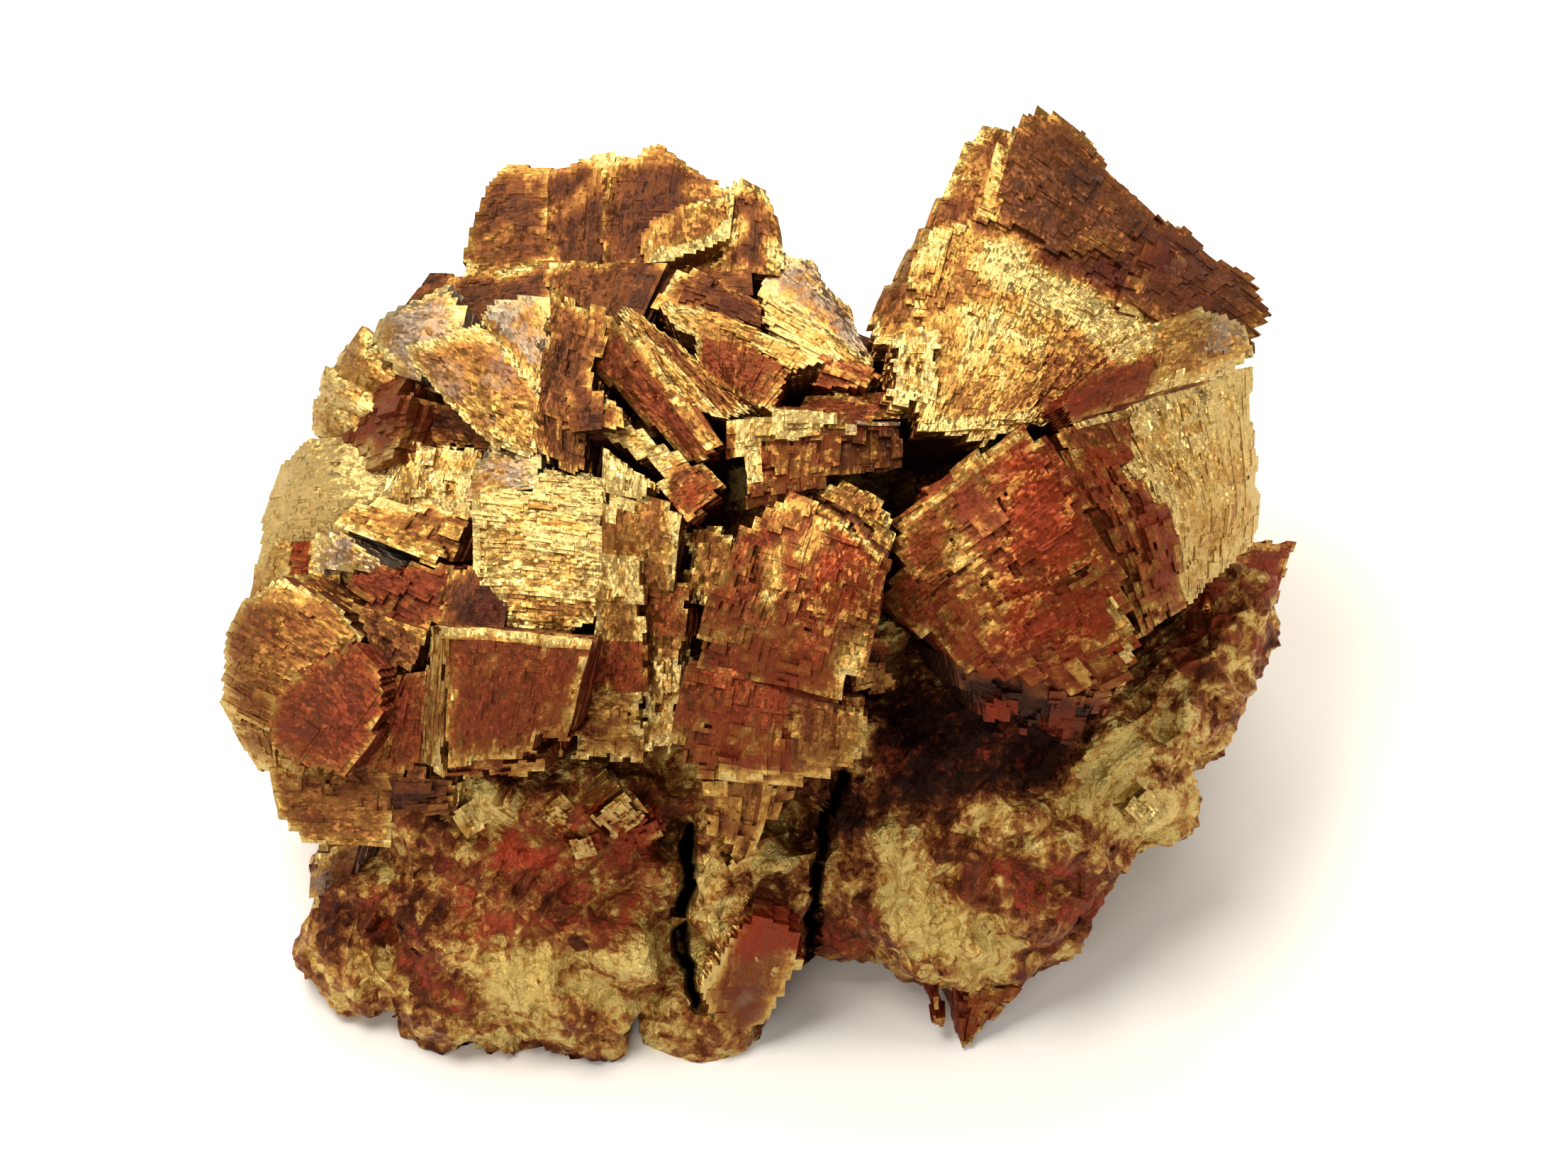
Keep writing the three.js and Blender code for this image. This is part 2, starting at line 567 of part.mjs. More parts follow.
function cube({ at, edge, turn }) {
  const [tip, spin] = turn.map(THREE.MathUtils.degToRad);
  const box = new THREE.BoxGeometry(edge, edge, edge);
  return solid(box.rotateX(tip).rotateZ(spin).translate(...at));
}

// ---- fissures ---------------------------------------------------------------------------------------
// A wedge that follows the points of a crack, widest at the surface and closing downwards.
function fissure(points) {
  const HEADROOM = 8; // how far the cutter stands out of the face
  const rows = points.length - 1;
  const box = new THREE.BoxGeometry(1, 1, 1, 1, rows, 1);
  return solid(reshape(box, (p) => {
    const row = Math.round((p.y + 0.5) * rows);
    const [u, v, w] = points[row];
    const out = p.z > 0;
    const halfWidth = out ? CRACK_WIDTH / 2 : CRACK_WIDTH / 6;
    return new THREE.Vector3(u + Math.sign(p.x) * halfWidth, v, out ? w + HEADROOM : w - CRACK_DEPTH);
  }));
}

// ---- the back ---------------------------------------------------------------------------------------
// One slab of the rear: a face set on its row's ellipse and tipped upwards, like a petal. Its height,
// tilt, spin and size each stray a little from the row's.
function rearSlab(row, i, index) {
  const STRAY = { height: 5, tilt: 16, spin: 40, size: 0.3 };
  const roll = dice(900 + index);
  const stray = (range) => (roll() - 0.5) * range;
  const { degToRad } = THREE.MathUtils;
  const turn = degToRad(row.from + ((row.to - row.from) * i) / (row.count - 1));
  const up = degToRad(row.up + stray(STRAY.tilt));
  const spin = degToRad(stray(STRAY.spin));
  const [sin, cos] = [Math.sin(turn), Math.cos(turn)];
  const [cx, cy] = REAR.centre;
  const [rx, ry] = row.radii;
  const middle = new THREE.Vector3(cx + rx * sin, cy + ry * cos, row.z + stray(STRAY.height));
  const out = new THREE.Vector3(sin * Math.cos(up), cos * Math.cos(up), Math.sin(up));
  const across = new THREE.Vector3(-cos, sin, 0).applyAxisAngle(out, spin);
  const upward = out.clone().cross(across);
  const width = row.size[0] * (1 + stray(STRAY.size));
  const height = row.size[1] * (1 + stray(STRAY.size));
  const corner = (x, y) => middle.clone()
    .addScaledVector(across, (x * width) / 2)
    .addScaledVector(upward, (y * height) / 2)
    .toArray();
  return {
    name: `rear_slab_${index}`,
    face: [corner(-1, -1), corner(1, -1), corner(0.9, 1), corner(-0.9, 1)],
    root: mix(middle, vec(REAR.centre), 0.9).toArray(),
    run: roll() > 0.5 ? "up" : "across",
    bars: 2,
    jog: 1.4,
    lift: 1.2,
    bulge: 0.5,
  };
}

// ---- putting it together ----------------------------------------------------------------------------
// The body proper, without the crumbs and pinholes that joining and smoothing can leave.
function mainBody(manifold) {
  return manifold.decompose().sort((p, q) => q.volume() - p.volume())[0];
}

function toGeometry(manifold) {
  const mesh = manifold.getMesh();
  const geometry = new THREE.BufferGeometry();
  const position = new THREE.BufferAttribute(new Float32Array(mesh.vertProperties), 3);
  geometry.setAttribute("position", position);
  geometry.setIndex(new THREE.BufferAttribute(new Uint32Array(mesh.triVerts), 1));
  geometry.computeVertexNormals();
  return geometry;
}

const lean = new THREE.Matrix4()
  .makeRotationX(THREE.MathUtils.degToRad(LEAN_DEG))
  .setPosition(...FACE_CENTRE);

const rosette = CRYSTALS.flatMap(crystalSolids);
const massive = [...HEART, ...LUMPS].map(lump);
const face = wasm.Manifold.union([...rosette, ...massive, ...CUBES.map(cube)]);
const cracked = CRACKS.map(fissure).reduce((whole, crack) => whole.subtract(crack), face);
const leaned = cracked.transform(lean.toArray());

const rearSlabs = REAR.rows.flatMap((row, r) =>
  Array.from({ length: row.count }, (_, i) => rearSlab(row, i, r * 10 + i)));
const rear = rearSlabs.flatMap((slab, i) => crystalSolids(slab, 500 + i));
const grown = wasm.Manifold.union([leaned, ...rear, ...REAR_LUMPS.map(lump)]);

// The flat break that it rests on: everything under the resting plane goes.
const BELOW = 100;
const underground = new THREE.BoxGeometry(BELOW, BELOW, BELOW).translate(0, 0, -BELOW / 2);
const rested = mainBody(grown.subtract(solid(underground)));
const cluster = new THREE.Mesh(
  toGeometry(mainBody(rested.simplify(SLIVER))),
  new THREE.MeshStandardMaterial({ color: 0x9a6a35, roughness: 0.42, metalness: 0.9 }),
);
cluster.name = "pyrite_cluster";

const part = new THREE.Group();
part.add(cluster);
export default part;
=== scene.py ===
"""A pyrite cluster about 80 mm wide: a rosette of stepped, bladed crystals over massive pyrite.

The rosette is drawn in a face frame, in millimetres: u to the right, v up the face, w out of the face.
Each crystal is a wedge that runs from its face back towards a root in the heart of the cluster. Its face
grows in strips and plates of slightly different height, and its flanks are stacks of thin layers.
"""

import math

import bpy
import numpy as np
from mathutils import Matrix, Vector


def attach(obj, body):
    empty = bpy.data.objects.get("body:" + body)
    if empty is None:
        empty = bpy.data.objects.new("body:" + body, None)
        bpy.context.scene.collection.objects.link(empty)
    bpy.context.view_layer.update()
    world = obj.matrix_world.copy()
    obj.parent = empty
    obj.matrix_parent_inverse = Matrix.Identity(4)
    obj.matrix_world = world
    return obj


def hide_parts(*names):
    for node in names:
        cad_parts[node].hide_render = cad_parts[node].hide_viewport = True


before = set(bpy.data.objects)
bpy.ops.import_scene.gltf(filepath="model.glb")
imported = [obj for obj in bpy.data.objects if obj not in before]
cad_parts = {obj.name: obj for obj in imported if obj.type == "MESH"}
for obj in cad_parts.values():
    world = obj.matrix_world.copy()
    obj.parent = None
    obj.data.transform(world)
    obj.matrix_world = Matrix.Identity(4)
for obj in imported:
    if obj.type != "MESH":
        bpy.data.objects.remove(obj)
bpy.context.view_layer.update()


# ---- sizes, in millimetres -------------------------------------------------------------------------
def tipped(angle):
    """The turn by this angle about the first axis, as a matrix."""
    return np.array([
        [1, 0, 0],
        [0, math.cos(angle), -math.sin(angle)],
        [0, math.sin(angle), math.cos(angle)],
    ])


MM = 0.001  # in metres
LEAN = math.radians(40)  # how far the face is tipped up from lying flat
FACE_CENTRE = np.array([2.0, -9.0, 32.0])  # where the face frame's origin stands
FACE_TO_PART = tipped(LEAN)  # columns: u, v and w as directions of the part
ROOT_PULL = 0.35  # a crystal's root lies this share of its face's offset out from the middle
ROOT_W = -18.0  # and at this w
REACH = 0.66  # the share of the way to its root that a crystal's back runs
LEAST_ACROSS, LEAST_ALONG = 3, 4  # the fewest cells of a crystal's face
CELL = 0.3  # how wide they are, and so the finest step
REAR_CELL = 0.45  # the same on the rear slabs
ROCK_GRAIN = 0.52  # the finest step on the massive pyrite
WELD = 0.004  # corners this near are one
SHARP_EDGE = math.radians(20)  # edges that turn more than this stay sharp
# swells that keep edges from being dead straight: their size, how far they move a point, and their salt
BENDS = [(8.0, 0.4, 101), (2.2, 0.12, 201)]

# ---- how a crystal's face is stepped ---------------------------------------------------------------
# strip and scale: how wide and how long one small scale is; step: how proud it stands; tilt: its slope
# across and along; cover: how many times over scales cover the face; plates: how many larger plates lie
# on it by chance, and plate, how thick; teeth: how far the rim is notched.
HABITS = {
    "scaly": dict(strip=(0.4, 1.8), scale=(0.5, 3.0), step=0.06, tilt=(0.07, 0.05), cover=2.2,
                  plates=6, plate=0.12, teeth=0.7),
    "stepped": dict(strip=(0.6, 2.4), scale=(0.9, 4.5), step=0.09, tilt=(0.06, 0.03), cover=1.8,
                    plates=7, plate=0.25, teeth=0.8),
    "terraced": dict(strip=(1.0, 3.8), scale=(1.2, 5.0), step=0.1, tilt=(0.03, 0.02), cover=1.4,
                     plates=8, plate=0.22, teeth=1.0),
    "laminated": dict(strip=(0.3, 0.8), scale=(1.2, 6.0), step=0.06, tilt=(0.2, 0.02), cover=2.2,
                      plates=4, plate=0.12, teeth=0.5),
    "ribbed": dict(strip=(1.2, 4.0), scale=(0.3, 0.8), step=0.06, tilt=(0.02, 0.18), cover=2.0,
                   plates=2, plate=0.1, teeth=0.4),
    "rippled": dict(strip=(0.3, 0.5), scale=(0.7, 2.6), step=0.06, tilt=(0.34, 0.05), cover=2.6,
                    plates=5, plate=0.16, teeth=0.5),
    "satin": dict(strip=(0.4, 1.6), scale=(0.6, 4.0), step=0.05, tilt=(0.06, 0.03), cover=2.0,
                  plates=4, plate=0.1, teeth=0.4),
    "smooth": dict(strip=(0.8, 5.0), scale=(1.5, 9.0), step=0.04, tilt=(0.02, 0.01), cover=1.4,
                   plates=3, plate=0.1, teeth=0.6),
    "flaky": dict(strip=(0.6, 2.6), scale=(0.6, 3.0), step=0.2, tilt=(0.1, 0.08), cover=2.0,
                  plates=14, plate=0.42, teeth=1.0),
    "splintery": dict(strip=(0.4, 1.5), scale=(1.0, 4.5), step=0.2, tilt=(0.1, 0.06), cover=2.0,
                      plates=5, plate=0.4, teeth=1.0),
}

# What all faces share. Shade is how much more tarnished and rusty a scale is than its crystal: by chance,
# and as painted shade at the feet of ledges and deep in flanks.
SHADE_TARNISH, SHADE_RUST = 0.11, 0.06  # what a shade of 1 adds
SMALL_JOGS, JOG_ROUNDING = 2.2, 0.4  # the higher the first, the more of an edge's jogs are small
RIM_RUN, PLATE_RUN = 5, 6  # the most cells in a row without a jog, on a rim and on a chance plate
TOOTH_WIDTHS = (0.25, 1.2)  # how wide a tooth of the rim is, in parts of the habit's teeth
PLATE_WIDE, PLATE_LONG = (0.8, 2.6), (1, 3.4)  # half sizes of a chance plate
PLATE_LIFT, PLATE_SHADE, PLATE_JAG = (-0.6, 1), 0.6, 1.0  # its height in plates, its shade, its jogs
AGAINST_THE_REST = 0.2  # how often a scale tips the other way
TILT_SHARE = (0.2, 1)  # how much of its habit's tilt it has
LIFT, SINK, THICKEST = 0.45, 0.2, 2.5  # its mean rise, how far it sinks and its most rise, in steps
SHADE_KEPT, SHADE_NEW = 0.7, 0.5  # what it keeps of the shade around it, and what is its own
LOWEST, HIGHEST, NO_CELL = -0.6, 1.6, -9.0  # limits of a face's steps, and the level beyond its rim
GRAIN_SHIFT = 7.0  # how far each crystal's grain is from the last one's, so that none repeats

# Wear, with painted light in it, runs from about 0 in a crevice, painted shade, to over 1 on a sharp edge,
# worn and painted bright.
FACE_WEAR, EDGE_WEAR_AND_HIGHLIGHT, FOOT_PAINTED_SHADE = 0.5, 0.62, 0.55  # on a face; more on an edge, worn and a painted highlight; less at its foot, painted shade
LEAST_DROP, DROP_RANGE = 0.04, 0.3  # where a step begins to count as an edge, and how soon wholly
FULL_PLATE = 0.35  # the rise of a plate whose edge counts wholly
EDGE_FADE, FOOT_FADE, FADE_CELLS = 0.65, 0.5, 4  # what a cell passes on to the next, and how far
CORNER_GAIN = 0.3  # the most that a corner stands more proud, and lies more sunk, than the cell itself, for wear and painted light
LEDGE_HIGHLIGHT_AND_SHADE = np.array([0.7, 0.4, 0.4, 0.7])  # a ledge's corners, top, foot, foot, top: a painted highlight on top and painted shade at the foot
LEDGE_PAINTED_SHADE = np.array([0, 0.6, 0.6, 0])  # and how much darker they are, painted shade at the foot
LEAST_LEDGE = 0.002  # lower ones aren't drawn

# Flanks: thin layers down to this depth, then thick ones, each a little in or out.
FINE_FLANK = 3.2
MOST_LAYERS = 16
FIRST_LAYER, THIN_LAYERS, THICK_LAYERS = 0.5, (0.3, 0.75), (1.5, 4.0)
LAYER_INSETS, LAYER_SHADES, LAYER_SALTS = (-0.28, 0.08), 1.2, 97
BLOCK_CELLS, BLOCK_INSET = 5, 0.13  # a layer's edge is broken into blocks of so many cells
TREAD_WEAR_AND_LIGHT, RISER_WEAR_AND_LIGHT, ROOT_WEAR_AND_SHADE = 0.7, 0.5, 0.4  # wear with painted light on a layer's top, on its side, and painted shade at the root
PAINTED_SHADE_DEPTH, DEPTH_PAINTED_SHADE, DEPTH_PAINTED_SHADE_WEAR, FLANK_PAINTED_SHADE = 10, 2.5, 0.35, 0.3  # painted shade: how a flank darkens with depth, and how much darker every flank is

# How tarnished each finish is: tarnish (0 bright brass, 1 brown), rust, and steel-grey film.
FINISHES = {
    "pale": (0.08, 0.0, 0.0),
    "gold": (0.31, 0.02, 0.0),
    "yellow": (0.2, -0.2, 0.0),
    "brass": (0.4, 0.04, 0.0),
    "straw": (0.24, 0.0, 0.45),
    "cream": (0.46, 0.1, 0.6),
    "pearl": (0.5, 0.0, 0.85),
    "brown": (0.65, 0.46, 0.0),
    "chestnut": (0.78, 0.5, 0.0),
    "umber": (0.76, 0.18, 0.0),
    "russet": (0.6, 0.52, 0.0),
    "rust": (0.6, 0.7, 0.0),
    "rose": (0.55, 0.35, 0.3),
    "steel": (0.45, 0.05, 0.6),
    "bronze": (0.5, 0.2, 0.0),
    "drab": (0.66, 0.04, 0.1),
}


def crystal(bottom_left, bottom_right, top_right, top_left, run, habit, finish, bulge,
            outline=None, plates=(), root=None, in_part=False, **own):
    """A crystal's face: the corners of its grid as u, v, w; whether its strips run up or across; its
    habit and finish; how far it bulges; its outline on the face as u, v if that isn't the grid's own;
    and the plates that lie on it, each an outline, how far it is raised, and its own finish. root is
    where the crystal grows from. in_part says that all of this is in the part's frame. The rest is what
    differs from its habit."""
    return dict(corners=np.array([bottom_left, bottom_right, top_right, top_left], float), run=run,
                habit=dict(HABITS[habit], **own), finish=FINISHES[finish], bulge=bulge, outline=outline,
                plates=plates, root=root, in_part=in_part)


# Every crystal of the rosette, by piece. Their order sets the seed of each one's steps.
CRYSTALS = {
    "front_slabs": {
        "front_slab": crystal((2, 0.7, 2.2), (14.5, -12.6, 7.1), (28.9, -4.3, 6.8), (17.6, 13, 8.8),
            "up", "flaky", "russet", 3,
            outline=[(8.2, 4.3), (10.5, 7.2), (13.5, 9.5), (16.5, 11.2), (18, 11.3), (19.3, 10),
                (21.2, 7), (22.6, 4), (24, 1.7), (24.6, -1.5), (25.2, -5.2), (23.6, -7.6), (21, -7.6),
                (18.6, -6.6), (16, -7.3), (13, -5.9), (10, -3.4), (7.4, -1.7), (7.1, -0.6), (8.4, 1.4),
                (8.1, 2.8)],
            plates=[([(7.9, 1.7), (8.2, 4.4), (13.5, 9.6), (17, 11.6), (19.4, 10), (21.2, 7),
                (24.2, 1.9), (18.8, 0.1), (17, 1.2), (14, 1.7), (10, 0.3)], 0.5, None),
                ([(16.2, 9.2), (18, 9.4), (19.4, 7.2), (21, 6.8), (21.4, 4.5), (23.2, 1.9), (18.9, 0),
                  (18.6, 1.5), (16.2, 2.1), (15.8, 4)], 0.7, "rust"),
                ([(10.6, 6), (13.6, 8.8), (15.2, 8), (16.2, 5), (13.4, 2.1), (12, 4)], 0.4, "brown"),
                ([(14.8, -1.4), (17.6, 0.2), (22.6, 0.8), (24.3, -1.5), (25.4, -5.3), (18.9, -3.8),
                  (16.8, -5)], 0.6, "rust"),
                ([(11.1, -1.9), (13.8, -0.1), (15.2, -1.5), (18, -5.4), (16, -7.2),
                  (14.8, -6.2)], 0.4, None),
                ([(22.7, 0.9), (24.3, -1.6), (25.3, -5.3), (24.3, -5.2), (23.4, -2)], -0.2, "gold"),
                ([(8.2, 4.3), (13.5, 9.5), (16.5, 11.4), (18.2, 11.4), (18.6, 10.6), (16.4, 10.2),
                  (13.6, 8.4), (9.2, 4.4)], -0.2, "brass")]),
        "front_slab_foot": crystal((13.6, -11, 1.6), (22, -12.4, 0.4), (23.6, -5.6, 4.4), (12, -4.6, 6),
            "across", "flaky", "umber", 0.3,
            outline=[(12.4, -5.2), (13, -8), (14.6, -8.4), (15, -9.8), (16.8, -9.2), (17.4, -10.6),
                (19, -9.4), (20.4, -11), (21.8, -10), (22.4, -8), (23.6, -6.4), (20, -5)],
            plates=[([(14.6, -10), (16.8, -10.4), (16.6, -8.2), (15, -8)], 0.5, "rust"),
                ([(19.4, -11), (21.4, -11), (21.6, -8.6), (19.8, -8.4)], 0.3, "brown")]),
        "front_slab_heel": crystal((18.6, -9.8, 2.4), (24, -9.8, 1), (25.4, -5, 4.6), (18.6, -6.2, 5.6),
            "across", "flaky", "brown", 0.3,
            outline=[(18.6, -6.6), (19.4, -8.8), (21.4, -8.4), (22.2, -9.4), (23.4, -8.6), (24.2, -7),
                (25, -5.6)]),
    },
    "outer_blades": {
        "outer_blade": crystal((26.2, -3.2, 1.5), (34.6, -0.4, -6.6), (36, 17, -5.6), (18.3, 12, 7.1),
            "up", "satin", "yellow", 1.4,
            outline=[(20, 10.2), (19.2, 11), (21, 12.1), (25.6, 13.7), (31.8, 15.3), (34.5, 16.4),
                (34.2, 12), (34.9, 9.4), (34.5, 8), (35.1, 7), (34.8, 4.6), (34.4, 3.4), (31.2, 0),
                (30.2, -1.3), (28.8, -1.2), (27, 0), (24, 6), (22, 9)],
            plates=[([(18.6, 10), (19.4, 11.4), (25.6, 12.6), (25, 10.6), (21, 9.4)], 0.35, "brown"),
                ([(25, 11.2), (25.2, 13.2), (27.6, 12.6), (27, 11.4)], 0.1, "pale"),
                ([(29, 12), (30.4, 14.2), (32.4, 13.6), (31.6, 12.4)], 0.15, "pale"),
                ([(26.2, 7.8), (28.6, 6.4), (29, 3), (28, 5)], 0.1, "pale")]),
        "outer_blade_edge": crystal((30.5, 0, -5.2), (34.4, 3.8, -8), (34.8, 12.5, -7.5),
            (31.4, 13.5, -3.6), "up", "scaly", "gold", 0.3),
        "red_terrace": crystal((24.4, -4.4, 4.6), (30, -1.8, 1.4), (25.5, 11.2, 5.1), (18.7, 10, 7.7),
            "up", "flaky", "russet", 0.6,
            outline=[(19.4, 9.7), (21.6, 10.4), (25.4, 10.4), (24.4, 8.6), (26.4, 7), (27.5, 4.9),
                (28.4, 2), (29.2, -1.2), (28, -2.2), (25.2, -3.6), (24.4, -1), (22.6, 2.8)],
            plates=[([(24.7, 4.6), (27.4, 5), (28.4, 2), (29.4, -1.4), (25, -2.2),
                (24.8, 0)], 0.5, "russet"),
                ([(21.6, 10.2), (25.2, 10.2), (24.6, 5), (23.2, 5)], 0.3, "rust")]),
        "sliver": crystal((18.7, 11.6, 9), (35, 15.2, -2.6), (33.5, 21.4, -4.5), (21.3, 17.3, 7.1),
            "across", "satin", "brass", 1,
            outline=[(19.7, 13.5), (20.7, 12.1), (26, 13.9), (31.8, 15.3), (34.4, 16.9), (33.4, 19.2),
                (31, 19.9), (30, 20.2), (27, 19), (24, 17.4), (21.4, 15.2)],
            plates=[([(19.6, 13.6), (20.8, 12), (26, 13.9), (26.8, 16.6), (24, 17.6),
                (21, 15)], 0.25, "brown"),
                # painted highlight: the pale bluish glint at the sliver's right end
                ([(30.6, 17.2), (34.6, 16.8), (33.4, 19.4), (31.2, 19.8)], 0.1, "pearl")]),
    },
    "great_blades": {
        "great_blade": crystal((6.7, 9.3, 6), (20.8, 10.9, 6.8), (38.6, 19.7, -7.3),
            (12.3, 41.7, -11.8), "up", "scaly", "bronze", 1.8,
            outline=[(9.7, 11.1), (12, 11), (14.3, 10.3), (15.4, 11.1), (18.5, 11.7), (20.2, 12.6),
                (20.8, 14.2), (24.5, 17.4), (28, 18.8), (34.2, 17.8), (35.8, 20.2), (35, 21),
                (34.9, 22.9), (31.9, 24.7), (30.3, 26.7), (27.8, 27.5), (23.4, 31.4), (22.2, 33.4),
                (20.8, 34.7), (18.4, 35.3), (17, 33.8), (15.2, 31), (14.3, 28.6), (13.8, 26.6),
                (12.4, 26.4), (10.5, 25.6), (9.7, 24), (9.1, 22.2), (9.3, 20), (10.3, 18.8),
                (10.1, 16.4), (9.4, 14), (9.6, 12.5)],
            plates=[([(14, 26.7), (15.6, 26.2), (18, 26), (19.6, 24.3), (21, 24.2), (22.8, 24.8),
                (24.4, 24), (26.4, 26.7), (28, 27.4), (23.2, 31.2), (22, 33.8), (19, 35.6),
                (16.4, 33.8), (15.2, 31)], 0.3, "drab"),
                ([(14, 26.7), (15.4, 26.3), (17, 33), (16.6, 33.6), (15, 31)], -0.1, "brass"),
                ([(26.3, 27), (24.3, 22.4), (25.4, 20.4), (27.4, 19), (34.4, 17.6), (36, 20),
                  (35.2, 22.8), (31.4, 24.8), (30, 26.8)], 0.5, "umber"),
                ([(9, 21.8), (9.6, 24.2), (10.6, 25.8), (12.6, 26.4), (12, 23),
                  (11.4, 20.8)], 0.3, None),
                ([(10.2, 19.6), (12.6, 20), (16.2, 18.5), (19, 18), (18, 11.8), (9.7, 11),
                  (10.4, 16)], 0.28, None),
                ([(15.9, 18.7), (19, 18.1), (24, 17), (20.6, 12.6), (17, 11.6),
                  (14.8, 12.2)], 0.2, None),
                ([(13.2, 23.4), (16, 25), (18, 22), (16, 20.4)], 0.18, None),
                ([(18.6, 23), (21.6, 24), (23.6, 20), (20, 19.6)], 0.2, None)]),
        "great_blade_flank": crystal((5.1, 16.2, 0.3), (13, 15, 3), (19, 33.2, -8.8), (13, 35.7, -10.9),
            "up", "scaly", "bronze", 1.6,
            outline=[(6.3, 18), (6.7, 20), (7.6, 21.8), (8.6, 23.6), (9.6, 25.6), (10.6, 26.9),
                (11.6, 28.7), (12.4, 30.4), (13.5, 32.4), (15.4, 34.2), (16.8, 33.6), (18, 33),
                (12.5, 17.6), (9.8, 17.4), (8, 17.7)]),
        "great_blade_foot": crystal((7.3, 13.4, 3.6), (11, 12.4, 5), (11.4, 19.2, 3.2), (8, 18.2, 2),
            "up", "stepped", "brass", 0),
        "great_blade_back": crystal((24, 19.8, 0), (34.6, 17.2, -5.6), (34.4, 21.8, -8),
            (26.8, 26.4, -4.4), "up", "terraced", "umber", 0.5),
    },
    "centre_blocks": {
        "centre_block": crystal((-7.1, -6, 6.6), (5.8, -8.6, 10.4), (8.5, 3.9, 10.6), (-2.5, 7.9, 7.6),
            "up", "flaky", "russet", 1.8,
            outline=[(-2.3, 4.6), (-1, 5.4), (1, 6.5), (4.4, 4.2), (7, 2), (6.4, -0.8), (5.9, -3.6),
                (5.6, -5.6), (3.9, -7.9), (1.2, -7.2), (-0.2, -6.7), (-3, -6.2), (-6.2, -5.6),
                (-6, -3.6), (-5.2, -0.6), (-4, 2)],
            plates=[([(-0.3, -4.3), (1.4, -3.4), (5.2, -1.4), (6.2, -3.6), (5.6, -5.6), (3.9, -8),
                (1.2, -7.4), (-0.2, -6.8)], 0.45, "russet"),
                ([(2.1, 1.7), (4.6, 3.4), (6.8, 2), (6.2, -1), (5.4, -2.8), (2, -3),
                  (1.5, -0.8)], 0.4, "rust"),
                ([(-1.2, 5.6), (1, 6.7), (4.6, 3.8), (2, 1.8), (0.2, 2.4), (-1, 4)], 0.3, "brown"),
                ([(-3.4, -0.6), (-0.8, 0), (0, -3.6), (-2.8, -3.8)], 0.35, "brown"),
                ([(-6, -3.8), (-3, -3.6), (-2.8, -6.4), (-6.2, -5.8)], -0.25, "brown")]),
        "centre_foot": crystal((-9.1, -13.8, 4.6), (7, -15.2, 5.9), (7, -6.4, 8.2), (-6.8, -4.2, 6.6),
            "up", "flaky", "russet", 1.6,
            outline=[(-6.4, -5), (-3.6, -5.6), (0, -6), (3.8, -7.4), (5.6, -7.8), (5.9, -10),
                (5.7, -11.3), (4.4, -12.7), (2, -13.6), (-0.4, -14.1), (-3, -14), (-5.2, -13.6),
                (-7.2, -12.7), (-8.2, -11.1), (-7.6, -9), (-7, -7.4)],
            plates=[([(-4.6, -5.4), (0, -6.4), (0.1, -12.2), (-5.4, -12.2)], 0.3, "russet"),
                ([(0.2, -7.6), (3.4, -8), (6.4, -9), (6.4, -12), (4.6, -13.4),
                  (0.4, -14.2)], 0.2, "bronze"),
                ([(-5, -12.6), (0.4, -13), (4.4, -12.2), (4, -13.4), (0, -14.4),
                  (-5, -14)], -0.2, "brass"),
                ([(-8.4, -12), (-5.6, -13.8), (-5.2, -9), (-6, -5), (-7.4, -6)], -0.3, "brown")]),
        "centre_toe": crystal((-5.8, -18.5, 2.4), (-1.3, -19.4, 2.4), (1, -13.5, 5), (-6, -13.6, 4.5),
            "up", "splintery", "bronze", 0.3,
            outline=[(-5.7, -13.6), (-5.7, -17.1), (-4.3, -17.8), (-3.6, -18.9), (-2.8, -19),
                (-1.8, -18.2), (-1.4, -16.6), (0.6, -14.4), (0.6, -13.6)]),
        "centre_cheek": crystal((4.4, -7.8, 6.5), (7.5, -7.2, 5.5), (7.8, -3.4, 6), (4.6, -3, 8),
            "across", "splintery", "chestnut", 0),
        "centre_wedge": crystal((-0.5, 5.4, 7.1), (6.8, 0.8, 8.6), (8.8, 5.6, 6), (3.1, 8.6, 4.5), "up",
            "stepped", "bronze", 0.4,
            outline=[(0.6, 6.3), (2.6, 6.9), (4.6, 7.6), (6.2, 6.8), (7.7, 5.4), (8, 4), (7.2, 2),
                (6, 1.4)],
            # painted shadow: a dark band on the wedge just behind the centre block's edge
            plates=[([(0, 5.6), (6.4, 0.4), (8.4, 2.4), (1.8, 7.2)], -0.3, "umber")]),
        "bridge_block": crystal((-3.8, 5, 8.2), (8.8, 7, 4.6), (9, 12.6, 2.8), (-4.2, 12.8, 6.4), "up",
            "flaky", "brown", 0.3, root=(4, 15, -12),
            outline=[(-3.7, 12.3), (1, 12.6), (8.4, 12.2), (8.6, 8.4), (4, 7.6), (0, 6.5), (-0.6, 5.6),
                (-2.9, 5.6), (-3.2, 8), (-3.6, 10.6)],
            # painted highlight: the pale straw L along the block's top and left edge
            plates=[([(-3.8, 12.4), (1, 12.8), (3.9, 12.7), (3.8, 11.6), (0.8, 11), (0.2, 10.2),
                (-1.8, 9.8), (-1.7, 7.6), (-2.9, 7.2), (-3, 9.4), (-3.6, 10.6)], 0.5, "straw"),
                ([(-1.6, 9.6), (3.8, 10.8), (3.8, 7.8), (0, 6.8), (-1.4, 6.6)], 0.25, "russet"),
                # painted highlight: the thin pale glint along its right ledge
                ([(4.2, 11), (4.1, 11.7), (6.4, 12), (8.4, 12.4), (8.2, 11.9),
                  (6, 11.3)], 0.5, "pearl"),
                ([(4, 10.6), (8.4, 11.4), (8.6, 8.4), (4, 7.6)], -0.3, "umber")]),
